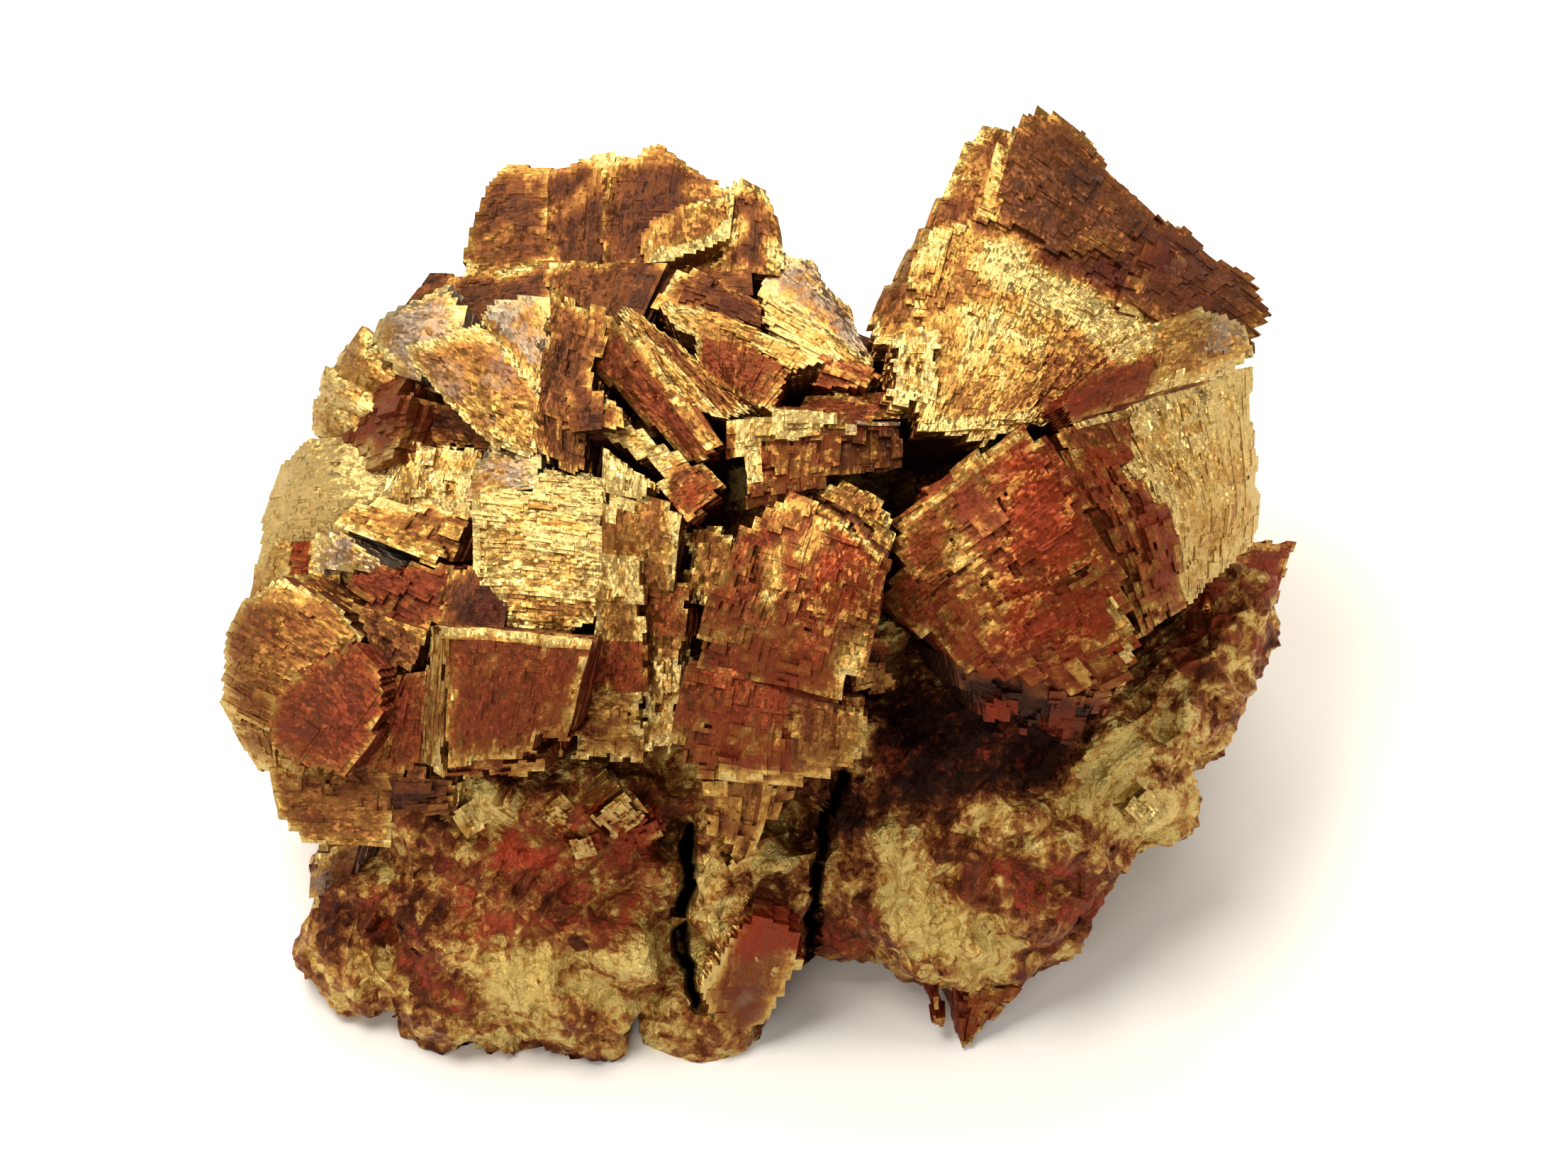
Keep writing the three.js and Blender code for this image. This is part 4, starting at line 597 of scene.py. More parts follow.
# Patina, and some painted highlights and shadows, drawn as soft strokes on the face: from u, v to u, v,
# reach, and the shift in tarnish and rust.
PATINA_AND_PAINTED_LIGHT = [
    # painted highlight: the pale band across the great blade
    (11, 24.6, 16.5, 23.6, 1.5, -0.2, 0),
    (16.5, 23.6, 24.5, 18.8, 2.2, -0.36, 0),
    (22.8, 19.4, 25, 18.4, 1.8, -0.26, 0),
    (12, 14, 17.5, 19, 4, -0.18, -0.2),
    (11, 11.4, 18, 12.2, 0.9, -0.25, 0),
    (17, 31, 25, 27, 4.5, 0.02, 0.02),
    (20.5, 23.4, 23.6, 22, 1.7, 0.4, 0.15),
    (27, 25, 31, 22, 3, 0, 0.1),
    (13, 13.5, 19, 15, 3, 0.08, 0.16),
    (7, 20, 13, 31, 1.6, 0.1, 0),
    (20, 12.6, 27, 15.6, 2.4, 0.05, 0.05),
    # painted highlights on the centre block
    (-0.8, 2.6, -1, -0.4, 0.9, -0.3, -0.3),
    (1.2, 2.4, 2.2, 3.8, 0.8, -0.3, -0.2),
    # painted highlight on the bridge block's top and left edge
    (-3.3, 7.6, -3, 12, 0.9, -0.3, -0.2),
    (-3, 12.2, 4, 12.2, 0.6, -0.3, -0.2),
    (4.4, -4.4, 5.4, -6.4, 1, -0.2, -0.5),
    # painted highlight along the centre block's top right edge
    (2, 5.8, 6.8, 2.2, 0.5, -0.45, -0.4),
    (-22.6, 24, -17, 23.4, 0.6, -0.2, 0),
    (-16.8, 28, -14, 30.6, 1, -0.3, -0.2),
    (-15, 31.4, -12.6, 32, 0.8, -0.3, -0.2),
    (-9, 24.6, -4, 26.2, 0.8, -0.35, -0.2),
    (-7, 29.6, -4.4, 29.4, 0.8, -0.3, -0.2),
    (-3.6, 29.6, -1.2, 28, 0.7, -0.3, 0),
    (-1.6, 25, -0.4, 24, 0.8, -0.4, 0),
    (4, -2, 6, -5.5, 1.3, 0, -0.2),
    (16.5, 9, 21, 3, 2.2, 0, 0.15),
    (17, -1, 22, -4, 2, 0, 0.15),
    # painted shade along the front slab's lower edge
    (13, -8.4, 22, -10, 1.4, 0.4, -0.1),
    (13, 2, 15, -2, 1.4, -0.2, -0.1),
    (-33, 8, -24, 7, 3, -0.1, 0),
    (-20, -17.6, -12, -18, 2.8, 0, 0.5),
    (-22, -21.5, -11, -21.5, 3.8, 0.05, 0.6),
    (-20, -19.4, -17.4, -20.2, 0.9, -0.2, 1.6),
    (-22, -24.5, -14, -25.6, 2, 0.1, 0.6),
    (-27, -27, -24, -30, 1.8, 0.2, 0.9),
    (-30, -22.6, -29, -24, 1.4, 0.1, 0.6),
    (-33, -22, -32, -26, 2.5, 0.35, 0.25),
    (-2, -25.5, 8, -25.4, 1.8, 0.15, 0.8),
    (-1.4, -24.4, 0.6, -25.6, 1, 0.2, 0.9),
    (13.6, -21.6, 23, -22.6, 1.9, 0.3, 0.9),
    (21, -24, 18, -29.5, 1.3, 0.2, 0.6),
    # painted shadows on the rock under the front slab and the centre blocks
    (10.4, -11.4, 18, -12, 3.4, 0.9, 0.4),
    (3, -16, 12, -15.5, 2.6, 0.4, 0.1),
    (-8, -15, -13, -16, 2, 0.1, 0.4),
    (31.6, -0.2, 36, 0.6, 1.2, 0.1, 0.9),
    (31, -3, 35, -4.6, 1.2, 0.2, 0.8),
    (29, -5.4, 30, -4.6, 1, 0.1, 0.9),
    # painted highlights: the bright yellow-green patches on the rock
    (-22.6, -15, -21, -16.4, 1.8, -0.6, -0.6),
    (-19, -28, -9, -30, 2.6, -0.25, -0.4),
    (-10, -27.5, -8.6, -24.5, 1.3, -0.35, -0.3),
    (-5.4, -20.5, -6, -28, 1.5, -0.35, -0.3),
    (8.6, -18, 9, -23, 2.3, -0.4, -0.3),
    (9, -25.5, 15, -26.6, 2.6, -0.35, -0.4),
    (21, -14.5, 28, -17, 2.4, -0.35, -0.4),
    (24, -11.6, 28, -10.4, 1.8, -0.35, -0.3),
    (-32, -29, -31, -29, 1.8, -0.35, -0.3),
]
STROKE_EDGE = 1.4  # a stroke is whole up to 0.4 of its reach and gone at 1.4
STROKE_WANDER = (3.0, 0.9, 81)  # size, how far, and salt

# Rows of slabs like petals round the back: the height of a row's middle, its ellipse's half sizes, how
# many slabs, their bearings from and to in degrees from straight back, how far they tip up in degrees,
# a slab's width and height, and the one that stands lower, so that nothing shows in the notch.
REAR_CENTRE = np.array([0.0, 6.0, 14.0])
REAR_ROWS = [
    dict(z=31, radii=(29, 16), count=4, bearings=(-80, -18), up=36, size=(15, 13), low=None),
    dict(z=29, radii=(27, 16), count=3, bearings=(44, 96), up=30, size=(15, 14), low=None),
    dict(z=17, radii=(32, 22), count=8, bearings=(-98, 98), up=8, size=(14, 13), low=4),
]
REAR_LOWERED = 5  # by this much
REAR_TOP = 0.9  # a slab's top edge, in parts of its lower edge
REAR_ROOT = 0.9  # the share of the way to the centre at which a slab roots
REAR_BULGE = 1.2  # how far its face bulges
# how far slabs differ: in degrees, degrees, millimetres, and a share of their size
STRAY_TIP, STRAY_SPIN, STRAY_HEIGHT, STRAY_SIZE = 16, 40, 5, 0.3
REAR_HABITS = ["flaky", "splintery", "stepped"]
REAR_FINISHES = ["brown", "brass", "umber", "drab", "bronze", "gold"]

# Where the seeds of the slabs, cubes and flanks and the slabs' dice start. The rosette's start at 1.
REAR_SEED, CUBE_SEED, FLANK_SEED, SLAB_DICE = 501, 700, 5000, 900


# ---- chance and swells -----------------------------------------------------------------------------
def dice(seed):
    """The solid's own dice, Park and Miller's, so that the slabs fall in the same places."""
    prime, factor = 2147483647, 16807
    state = (seed * 7919 + 17) % prime  # seeds next to one another start far apart

    def roll():
        """The next number from 0 to 1."""
        nonlocal state
        state = state * factor % prime
        return state / prime
    return roll


def lattice(i, j, k, salt):
    """A value from -1 to 1 for each point of a lattice of whole numbers, scattered by large odd numbers.
    The salt picks one of many such patterns."""
    n = (i * 374761393 + j * 668265263 + k * 1442695041 + salt * 974634777) & 0xFFFFFFFF
    n = ((n ^ (n >> 13)) * 1274126177) & 0xFFFFFFFF
    return ((n ^ (n >> 16)) & 0xFFFF) / 32767.5 - 1.0


def eased(share):
    """A share from 0 to 1 that leaves 0 and reaches 1 gently."""
    return share * share * (3 - 2 * share)


def swell(points, size, salt):
    """A smooth rise and fall from -1 to 1 over points in space, with bumps of this size."""
    spot = points / size
    base = np.floor(spot).astype(np.int64)
    part = eased(spot - base)
    total = np.zeros(len(points))
    for corner in range(8):
        step = np.array([corner & 1, corner >> 1 & 1, corner >> 2 & 1])
        share = np.prod(np.where(step, part, 1 - part), axis=1)
        total += share * lattice(*(base + step).T, salt)
    return total


def swells(points, kinds):
    """The sum of swells, each given by its height, size and salt."""
    return sum(high * swell(points, size, salt) for high, size, salt in kinds)


def wander(points, size, amount, salt):
    """Moves points by smooth swells in all three directions."""
    return points + amount * np.stack([swell(points, size, salt + n) for n in range(3)], axis=1)


# ---- places on the face ----------------------------------------------------------------------------
def to_part(points):
    """Points of the face frame, moved to where they stand in the part."""
    return points @ FACE_TO_PART.T + FACE_CENTRE


def to_face(points):
    """The other way round."""
    return (points - FACE_CENTRE) @ FACE_TO_PART


def distance_to(spots, start, end):
    """How far each spot lies from the straight line between two."""
    start, end = np.array(start, float), np.array(end, float)
    way = end - start
    away = spots - start
    share = np.clip(away @ way / max(way @ way, 1e-9), 0, 1)
    return np.linalg.norm(away - share[:, None] * way, axis=1)


def inside(outline, u, v):
    """Which points lie inside a closed outline."""
    found = np.zeros(u.shape, bool)
    for (u0, v0), (u1, v1) in zip(outline, outline[1:] + outline[:1]):
        if v0 != v1:
            found ^= ((v0 > v) != (v1 > v)) & (u < u0 + (v - v0) * (u1 - u0) / (v1 - v0))
    return found


def stains_and_painted_light(points):
    """How far the patina, and the painted highlights and shadows drawn with it, shift tarnish, rust, steel
    and wear at points of the part. It reaches down to the depth of the roots."""
    face = to_face(points)
    spots = wander(face, *STROKE_WANDER)[:, :2]
    in_front = face[:, 2] > ROOT_W
    shift = np.zeros((len(points), 4))
    # tarnish and rust here also carry the painted highlights and shadows of some strokes
    for u0, v0, u1, v1, reach, tarnish, rust in PATINA_AND_PAINTED_LIGHT:
        off = distance_to(spots, (u0, v0), (u1, v1))
        near = eased(np.clip(STROKE_EDGE - off / reach, 0, 1)) * in_front
        shift[:, 0] += tarnish * near
        shift[:, 1] += rust * near
    return shift


# ---- Blender's objects and meshes ------------------------------------------------------------------
def put(name, data):
    """A new object in the scene, with this mesh, lamp or camera."""
    thing = bpy.data.objects.new(name, data)
    bpy.context.scene.collection.objects.link(thing)
    return thing


def read(items, what, kind=np.float32):
    """Three numbers of each of these items of a mesh."""
    numbers = np.empty(len(items) * 3, kind)
    items.foreach_get(what, numbers)
    return numbers.reshape(-1, 3)


def floats(numbers):
    """Numbers as Blender takes them."""
    return numbers.astype(np.float32).ravel()


def welded(places):
    """The first of each set of places that are one and the same, and each place's own set."""
    whole = np.round(places / WELD).astype(np.int64)
    apart = 1000003  # more than any of the whole numbers
    key = (whole[:, 0] * apart + whole[:, 1]) * apart + whole[:, 2]
    _, first, own = np.unique(key, return_index=True, return_inverse=True)
    return first, own.ravel()


class Faces:
    """Four-cornered faces with, at each corner, a place, a finish and grain coordinates."""

    def __init__(self):
        self.places, self.looks, self.grains = [], [], []

    def add(self, places, looks, grains):
        """places (n, 4, 3) mm; looks (n, 4, 4): tarnish, rust, steel, wear, with painted light and shade
        in them; grains (n, 4, 3) mm.
        """
        shape = places.shape[:2]
        self.places.append(places.reshape(-1, 4, 3))
        self.looks.append(np.broadcast_to(looks, (*shape, 4)).reshape(-1, 4, 4))
        self.grains.append(np.broadcast_to(grains, (*shape, 3)).reshape(-1, 4, 3))

    def piece(self, name, material):
        """Joins the faces at their shared corners and makes a Blender object of them."""
        places = np.concatenate(self.places).reshape(-1, 3)
        looks = np.concatenate(self.looks).reshape(-1, 4)
        grains = np.concatenate(self.grains).reshape(-1, 3)
        first, corner = welded(places)
        places = places[first]
        looks = looks + stains_and_painted_light(places)[corner]
        for bend in BENDS:
            places = wander(places, *bend)
        # a face with two corners in one place is a triangle; with more, it is gone
        corner = corner.reshape(-1, 4)
        doubled = corner == np.roll(corner, -1, axis=1)
        kept = doubled.sum(axis=1) <= 1
        used = (~doubled & kept[:, None]).ravel()
        sizes = 4 - doubled[kept].sum(axis=1)
        starts = np.concatenate([[0], np.cumsum(sizes)[:-1]]).astype(np.int32)
        mesh = bpy.data.meshes.new(name)
        mesh.vertices.add(len(first))
        mesh.vertices.foreach_set("co", floats(places * MM))
        mesh.loops.add(int(used.sum()))
        mesh.loops.foreach_set("vertex_index", corner.ravel()[used].astype(np.int32))
        mesh.polygons.add(len(sizes))
        mesh.polygons.foreach_set("loop_start", starts)
        mesh.update(calc_edges=True)
        mesh.set_sharp_from_angle(angle=SHARP_EDGE)
        look = mesh.attributes.new("look", "FLOAT_COLOR", "CORNER")
        look.data.foreach_set("color", floats(looks[used]))
        grain = mesh.attributes.new("grain", "FLOAT_VECTOR", "CORNER")
        grain.data.foreach_set("vector", floats(grains[used] * MM))
        mesh.validate()
        mesh.materials.append(material)
        return put(name, mesh)


# ---- crystals --------------------------------------------------------------------------------------
class Wedge:
    """A crystal's body: where a point of its face, or of a layer below it, lies."""

    def __init__(self, made):
        self.corners = made["corners"]
        a, b, c, d = self.corners
        middle = self.corners.mean(axis=0)
        normal = np.cross(c - a, d - b)
        self.normal = normal / np.linalg.norm(normal)
        if made["root"] is not None:
            self.root = np.array(made["root"], float)
        else:
            self.root = np.array([middle[0] * ROOT_PULL, middle[1] * ROOT_PULL, ROOT_W])
        self.width = (np.linalg.norm(b - a) + np.linalg.norm(c - d)) / 2
        self.height = (np.linalg.norm(d - a) + np.linalg.norm(c - b)) / 2
        self.bulge = made["bulge"]
        self.length = np.linalg.norm(middle - self.root) * REACH
        self.in_part = made["in_part"]

    def face(self, s, t):
        """The face itself: s runs across it and t up it, from 0 to 1. In the middle the bulge is whole."""
        a, b, c, d = self.corners
        s, t = s[..., None], t[..., None]
        flat = (a * (1 - s) + b * s) * (1 - t) + (d * (1 - s) + c * s) * t
        return flat + self.normal * (16 * s * (1 - s) * t * (1 - t) * self.bulge)

    def place(self, s, t, rise=0.0, below=0.0):
        """A point that stands above the face, or lies below it towards the root, in millimetres."""
        face = self.face(s, t)
        share = np.asarray(below)[..., None] / self.length
        back = face + (self.root - face) * REACH * share
        points = back + self.normal * np.asarray(rise)[..., None] * (1 - share)
        return points if self.in_part else to_part(points)


def jagged(rng, count, reach, run):
    """A stepped line: whole numbers up to reach, mostly small, that change every few cells."""
    line = np.zeros(count, int)
    at = 0
    while at < count:
        end = at + 1 + int(rng.integers(run))
        line[at:end] = int(reach * rng.random() ** SMALL_JOGS + JOG_ROUNDING)
        at = end
    return line


def patch(rng, shape, rows, columns, jag, run):
    """Cells between two rows and two columns, with stepped, uneven edges."""
    row, column = np.arange(shape[0])[:, None], np.arange(shape[1])[None, :]
    low_row = rows[0] + jagged(rng, shape[1], jag, run)
    high_row = rows[1] - jagged(rng, shape[1], jag, run)
    low_column = columns[0] + jagged(rng, shape[0], jag, run)[:, None]
    high_column = columns[1] - jagged(rng, shape[0], jag, run)[:, None]
    return (row >= low_row) & (row < high_row) & (column >= low_column) & (column < high_column)


def blocky(rng, count, step, teeth):
    """For each of a row of cells, the middle of the small block it belongs to."""
    cuts = [0]
    while cuts[-1] < count:
        cuts.append(cuts[-1] + max(1, round(rng.uniform(*TOOTH_WIDTHS) * teeth / step)))
    middles = [(p + q) / 2 for p, q in zip(cuts, cuts[1:])]
    return np.repeat(middles, np.diff(cuts))[:count]


def beside(values, pick):
    """For each cell, the least or greatest value among its four neighbours."""
    ringed = np.pad(values, 1, mode="edge")
    rows = pick(ringed[:-2, 1:-1], ringed[2:, 1:-1])
    columns = pick(ringed[1:-1, :-2], ringed[1:-1, 2:])
    return pick(rows, columns)


def at_corners(near, i, j, corner_a, corner_l):
    """What is given for each cell, at the corners of cells, but never far above a cell's own."""
    ringed = np.pad(near, 1)
    lines = np.maximum(np.maximum(ringed[:-1, :-1], ringed[1:, :-1]),
                       np.maximum(ringed[:-1, 1:], ringed[1:, 1:]))
    return np.minimum(lines[corner_a, corner_l], near[i, j][:, None] + CORNER_GAIN)


def edge_share(drop):
    """How far a step down, or a wall, counts as an edge."""
    return np.clip((drop - LEAST_DROP) / DROP_RANGE, 0, 1)


class Levels:
    """The stepped levels of a crystal's face, cell by cell: which cells are there, the plane that each
    lies in, its finish, and how proud or how sunk it is beside its neighbours. The first axis, a, runs
    across the strips and the second, l, along them."""

    def __init__(self, made, seed, size):
        self.wedge, self.habit, self.seed = Wedge(made), made["habit"], seed
        self.up = made["run"] == "up"
        sides = self.wedge.width, self.wedge.height
        self.breadth, self.length = sides if self.up else sides[::-1]
        self.across = max(LEAST_ACROSS, round(self.breadth / size))
        self.along = max(LEAST_ALONG, round(self.length / size))
        self.mm_a, self.mm_l = self.breadth / self.across, self.length / self.along
        self.shape = (self.across, self.along)
        self.x = (np.arange(self.across)[:, None] + 0.5) * self.mm_a
        self.y = (np.arange(self.along)[None, :] + 0.5) * self.mm_l
        self.base, self.lean_a, self.lean_l, self.shade = (np.zeros(self.shape) for _ in range(4))
        self.coat = np.tile(np.array(made["finish"]), (*self.shape, 1))
        rng = np.random.default_rng(seed)
        if made["outline"]:
            self.there = self.toothed(rng, made["outline"])
        else:
            jag = self.habit["teeth"] / self.mm_a
            self.there = patch(rng, self.shape, (0, self.across), (0, self.along), jag, RIM_RUN)
        self.lay_chance_plates(rng)
        edges, feet = self.lay_plates(rng, made["plates"])
        self.shingle(rng)
        self.find_edges(edges, feet)

    def shares(self, a, l):
        """Grid lines as shares across the face and up it."""
        across, along = a / self.across, l / self.along
        return (across, along) if self.up else (along, across)

    def place(self, a, l, rise=0.0, below=0.0):
        """Where the crossing of two grid lines lies."""
        return self.wedge.place(*self.shares(a, l), rise, below)

    def grain(self, a, l, below=0.0):
        """Grain coordinates: across the strips and down the flanks, along the strips, and the crystal's
        own."""
        fine = a * self.mm_a + np.asarray(below)
        return np.stack(np.broadcast_arrays(fine, l * self.mm_l, self.seed * GRAIN_SHIFT), axis=-1)

    def rise(self, i, j, a, l):
        """Height of cell i, j at grid lines a, l."""
        return self.base[i, j] + self.lean_a[i, j] * a * self.mm_a + self.lean_l[i, j] * l * self.mm_l

    def toothed(self, rng, outline):
        """The cells inside an outline, with a notched rim."""
        a = blocky(rng, self.across, self.mm_a, self.habit["teeth"])
        l = blocky(rng, self.along, self.mm_l, self.habit["teeth"])
        face = self.wedge.face(*self.shares(*np.meshgrid(a, l, indexing="ij")))
        return inside(outline, face[..., 0], face[..., 1])

    def lay_chance_plates(self, rng):
        """Raises or lowers a few patches of the face by chance."""
        for _ in range(self.habit["plates"]):
            i, j = rng.integers(0, self.across), rng.integers(0, self.along)
            wide, long = rng.uniform(*PLATE_WIDE) / self.mm_a, rng.uniform(*PLATE_LONG) / self.mm_l
            rows, columns = (i - wide, i + wide), (j - long, j + long)
            area = patch(rng, self.shape, rows, columns, PLATE_JAG / self.mm_a, PLATE_RUN)
            self.base[area] += self.habit["plate"] * rng.uniform(*PLATE_LIFT)
            self.shade[area] += PLATE_SHADE * rng.normal()

    def lay_plates(self, rng, plates):
        """Lays the crystal's own plates, and returns how far each cell is on an edge or at its foot."""
        edges, feet = np.zeros(self.shape), np.zeros(self.shape)
        for outline, rise, finish in plates:
            area = self.toothed(rng, outline)
            self.base[area] += rise
            high, low = (area, ~area) if rise > 0 else (~area, area)
            edges[high & beside(low, np.maximum)] = min(1.0, abs(rise) / FULL_PLATE)
            feet[low & beside(high, np.maximum)] = min(1.0, abs(rise) / FULL_PLATE)
            if finish:
                self.coat[area] = FINISHES[finish]
        return edges, feet

    def shingle(self, rng):
        """Lays small tilted scales over one another, each proud on the sides that it faces."""
        habit, step = self.habit, self.habit["step"]
        one = math.sqrt(math.prod(habit["strip"]) * math.prod(habit["scale"]))
        facing = np.where(rng.random(2) < 0.5, -1, 1)
        for _ in range(int(habit["cover"] * self.breadth * self.length / one)):
            wide = np.exp(rng.uniform(*np.log(habit["strip"]))) / 2
            long = np.exp(rng.uniform(*np.log(habit["scale"]))) / 2
            a, l = rng.uniform(0, self.breadth), rng.uniform(0, self.length)
            i0, i1 = max(0, round((a - wide) / self.mm_a)), round((a + wide) / self.mm_a)
            j0, j1 = max(0, round((l - long) / self.mm_l)), round((l + long) / self.mm_l)
            part = np.s_[i0:i1, j0:j1]
            if not self.base[part].size:
                continue
            x, y = self.x[i0:i1], self.y[:, j0:j1]
            now = self.base[part] + self.lean_a[part] * x + self.lean_l[part] * y
            way = facing * np.where(rng.random(2) < AGAINST_THE_REST, -1, 1)
            slope = way * rng.uniform(*TILT_SHARE, 2) * np.array(habit["tilt"])
            lift = step * (rng.exponential(LIFT) - SINK)
            foot = now.mean() + lift - slope[0] * x.mean() - slope[1] * y.mean()
            plane = foot + slope[0] * x + slope[1] * y
            over = (plane > now) & (plane < now + THICKEST * step)
            self.base[part][over] = foot
            self.lean_a[part][over] = slope[0]
            self.lean_l[part][over] = slope[1]
            self.shade[part][over] = SHADE_KEPT * self.shade[part].mean() + SHADE_NEW * rng.normal()

    def find_edges(self, edges, feet):
        """Keeps the steps within limits, and finds the cells that stand proud or lie sunk."""
        height = self.base + self.lean_a * self.x + self.lean_l * self.y
        kept = np.clip(height, LOWEST, HIGHEST)
        self.base += kept - height
        height = np.where(self.there, kept, NO_CELL)
        drop = height - beside(height, np.minimum)
        wall = beside(height, np.maximum) - height
        self.proud = self.faded(np.maximum(edges, edge_share(drop)), EDGE_FADE)
        self.sunk = self.faded(np.maximum(feet, edge_share(wall)), FOOT_FADE)

    def faded(self, cells, share):
        """Such a value on these cells, fading over the cells around them."""
        near = cells * self.there.astype(float)
        for _ in range(FADE_CELLS):
            near = np.maximum(near, share * beside(near, np.maximum))
        return near


def look_of(coat, shade, wear_and_painted_light):
    """Corner finishes: a cell's own coat, a little more or less tarnished by chance and by painted shade,
    and how worn it is, with painted highlights on edges and painted shade at feet.
    """
    shade = shade[:, None] if shade.ndim == 1 else shade
    looks = np.empty((len(coat), 4, 4))
    looks[..., :3] = coat[:, None, :]
    looks[..., 0] += SHADE_TARNISH * shade
    looks[..., 1] += SHADE_RUST * shade
    looks[..., 3] = wear_and_painted_light
    return looks


def grow(faces, made, seed, size):
    """Adds one crystal to the faces: its stepped face, the ledges on it, and its layered flanks."""
    grid = Levels(made, seed, size)
    # each cell's four corners, anticlockwise seen from outside
    turn = [(0, 0), (1, 0), (1, 1), (0, 1)] if grid.up else [(0, 0), (0, 1), (1, 1), (1, 0)]
    i, j = np.nonzero(grid.there)
    corner_a = np.stack([i + da for da, _ in turn], axis=1)
    corner_l = np.stack([j + dl for _, dl in turn], axis=1)
    rises = grid.rise(i[:, None], j[:, None], corner_a, corner_l)
    shade, coat = grid.shade[i, j], grid.coat[i, j]
    there = np.pad(grid.there, 1)
    rims = []
    for p, q in ((0, 1), (1, 2), (2, 3), (3, 0)):
        next_i = i + turn[p][0] + turn[q][0] - 1
        next_j = j + turn[p][1] + turn[q][1] - 1
        near = there[next_i + 1, next_j + 1]
        ends = corner_a[:, [p, q]], corner_l[:, [p, q]], rises[:, [p, q]]
        rims.append([part[~near] for part in (*ends, shade, coat)])
        # ledges, drawn by the higher of two cells
        a, l, upper = (part[near] for part in ends)
        lower = grid.rise(next_i[near][:, None], next_j[near][:, None], a, l)
        step = (upper - lower).mean(axis=1) > LEAST_LEDGE
        heights = np.stack([upper[:, 0], lower[:, 0], lower[:, 1], upper[:, 1]], axis=1)[step]
        a, l = a[step][:, [0, 0, 1, 1]], l[step][:, [0, 0, 1, 1]]
        # a ledge gets a painted highlight along its top and painted shade at its foot
        look = look_of(coat[near][step], shade[near][step][:, None] + LEDGE_PAINTED_SHADE, LEDGE_HIGHLIGHT_AND_SHADE)
        faces.add(grid.place(a, l, heights), look, grid.grain(a, l, heights))
    proud, sunk = (at_corners(near, i, j, corner_a, corner_l) for near in (grid.proud, grid.sunk))
    # proud edges get wear and a painted highlight, the feet of steps painted shade
    look = look_of(coat, shade, FACE_WEAR + EDGE_WEAR_AND_HIGHLIGHT * proud - FOOT_PAINTED_SHADE * sunk)
    faces.add(grid.place(corner_a, corner_l, rises), look, grid.grain(corner_a, corner_l))
    add_flanks(faces, grid, *(np.concatenate(part) for part in zip(*rims)))


def add_flanks(faces, grid, a, l, rises, shade, coat):
    """The sides of a crystal: thin layers, each a little further in or out, down to its root, painted
    darker as shade the deeper they lie.
    """
    rng = np.random.default_rng(grid.seed + FLANK_SEED)
    depths = [0.0, FIRST_LAYER]
    while depths[-1] < grid.wedge.length and len(depths) < MOST_LAYERS:
        thickness = THIN_LAYERS if depths[-1] < FINE_FLANK else THICK_LAYERS
        depths.append(depths[-1] + rng.uniform(*thickness))
    depths[-1] = grid.wedge.length
    insets = rng.uniform(*LAYER_INSETS, len(depths))
    tones = rng.normal(0, LAYER_SHADES, len(depths))
    half_a, half_l = grid.across / 2, grid.along / 2

    def ring(layer, depth, rise=0.0):
        """The rim's ends, moved in or out and down to this depth: their places and their grain."""
        block_a, block_l = a // BLOCK_CELLS, l // BLOCK_CELLS
        odd = lattice(block_a, block_l, np.full_like(a, layer), grid.seed % LAYER_SALTS)
        inset = insets[layer] + BLOCK_INSET * odd * (layer > 0)
        moved_a = a + (a - half_a) / half_a * inset / grid.mm_a * (layer > 0)
        moved_l = l + (l - half_l) / half_l * inset / grid.mm_l * (layer > 0)
        places = grid.place(moved_a, moved_l, rise, np.full(a.shape, float(depth)))
        return places, grid.grain(a, l, depth)

    def band(top, bottom, depth, tone, wear_and_painted_light):
        """Faces from one ring to the next."""
        four, lines = (np.stack([high[:, 0], low[:, 0], low[:, 1], high[:, 1]], axis=1)
                       for high, low in zip(top, bottom))
        # painted shade: the deeper in the flank, the darker and the less worn it looks
        painted_shade = min(1.0, depth / PAINTED_SHADE_DEPTH)
        look = look_of(coat, shade + tone + FLANK_PAINTED_SHADE + DEPTH_PAINTED_SHADE * painted_shade, wear_and_painted_light - DEPTH_PAINTED_SHADE_WEAR * painted_shade)
        faces.add(four, look, lines)

    above = ring(0, 0.0, rises)
    for n in range(1, len(depths)):
        if n > 1 and depths[n - 1] < FINE_FLANK:
            tread = ring(n, depths[n - 1])
            band(above, tread, depths[n], tones[n], TREAD_WEAR_AND_LIGHT)
            above = tread
        below = ring(n, depths[n])
        band(above, below, depths[n], tones[n], RISER_WEAR_AND_LIGHT)
        above = below
    middle = np.full(a.shape, half_a), np.full(a.shape, half_l)
    centre = grid.place(*middle, 0.0, np.full(a.shape, grid.wedge.length))
    band(above, (centre, above[1]), 2 * PAINTED_SHADE_DEPTH, 0, ROOT_WEAR_AND_SHADE)


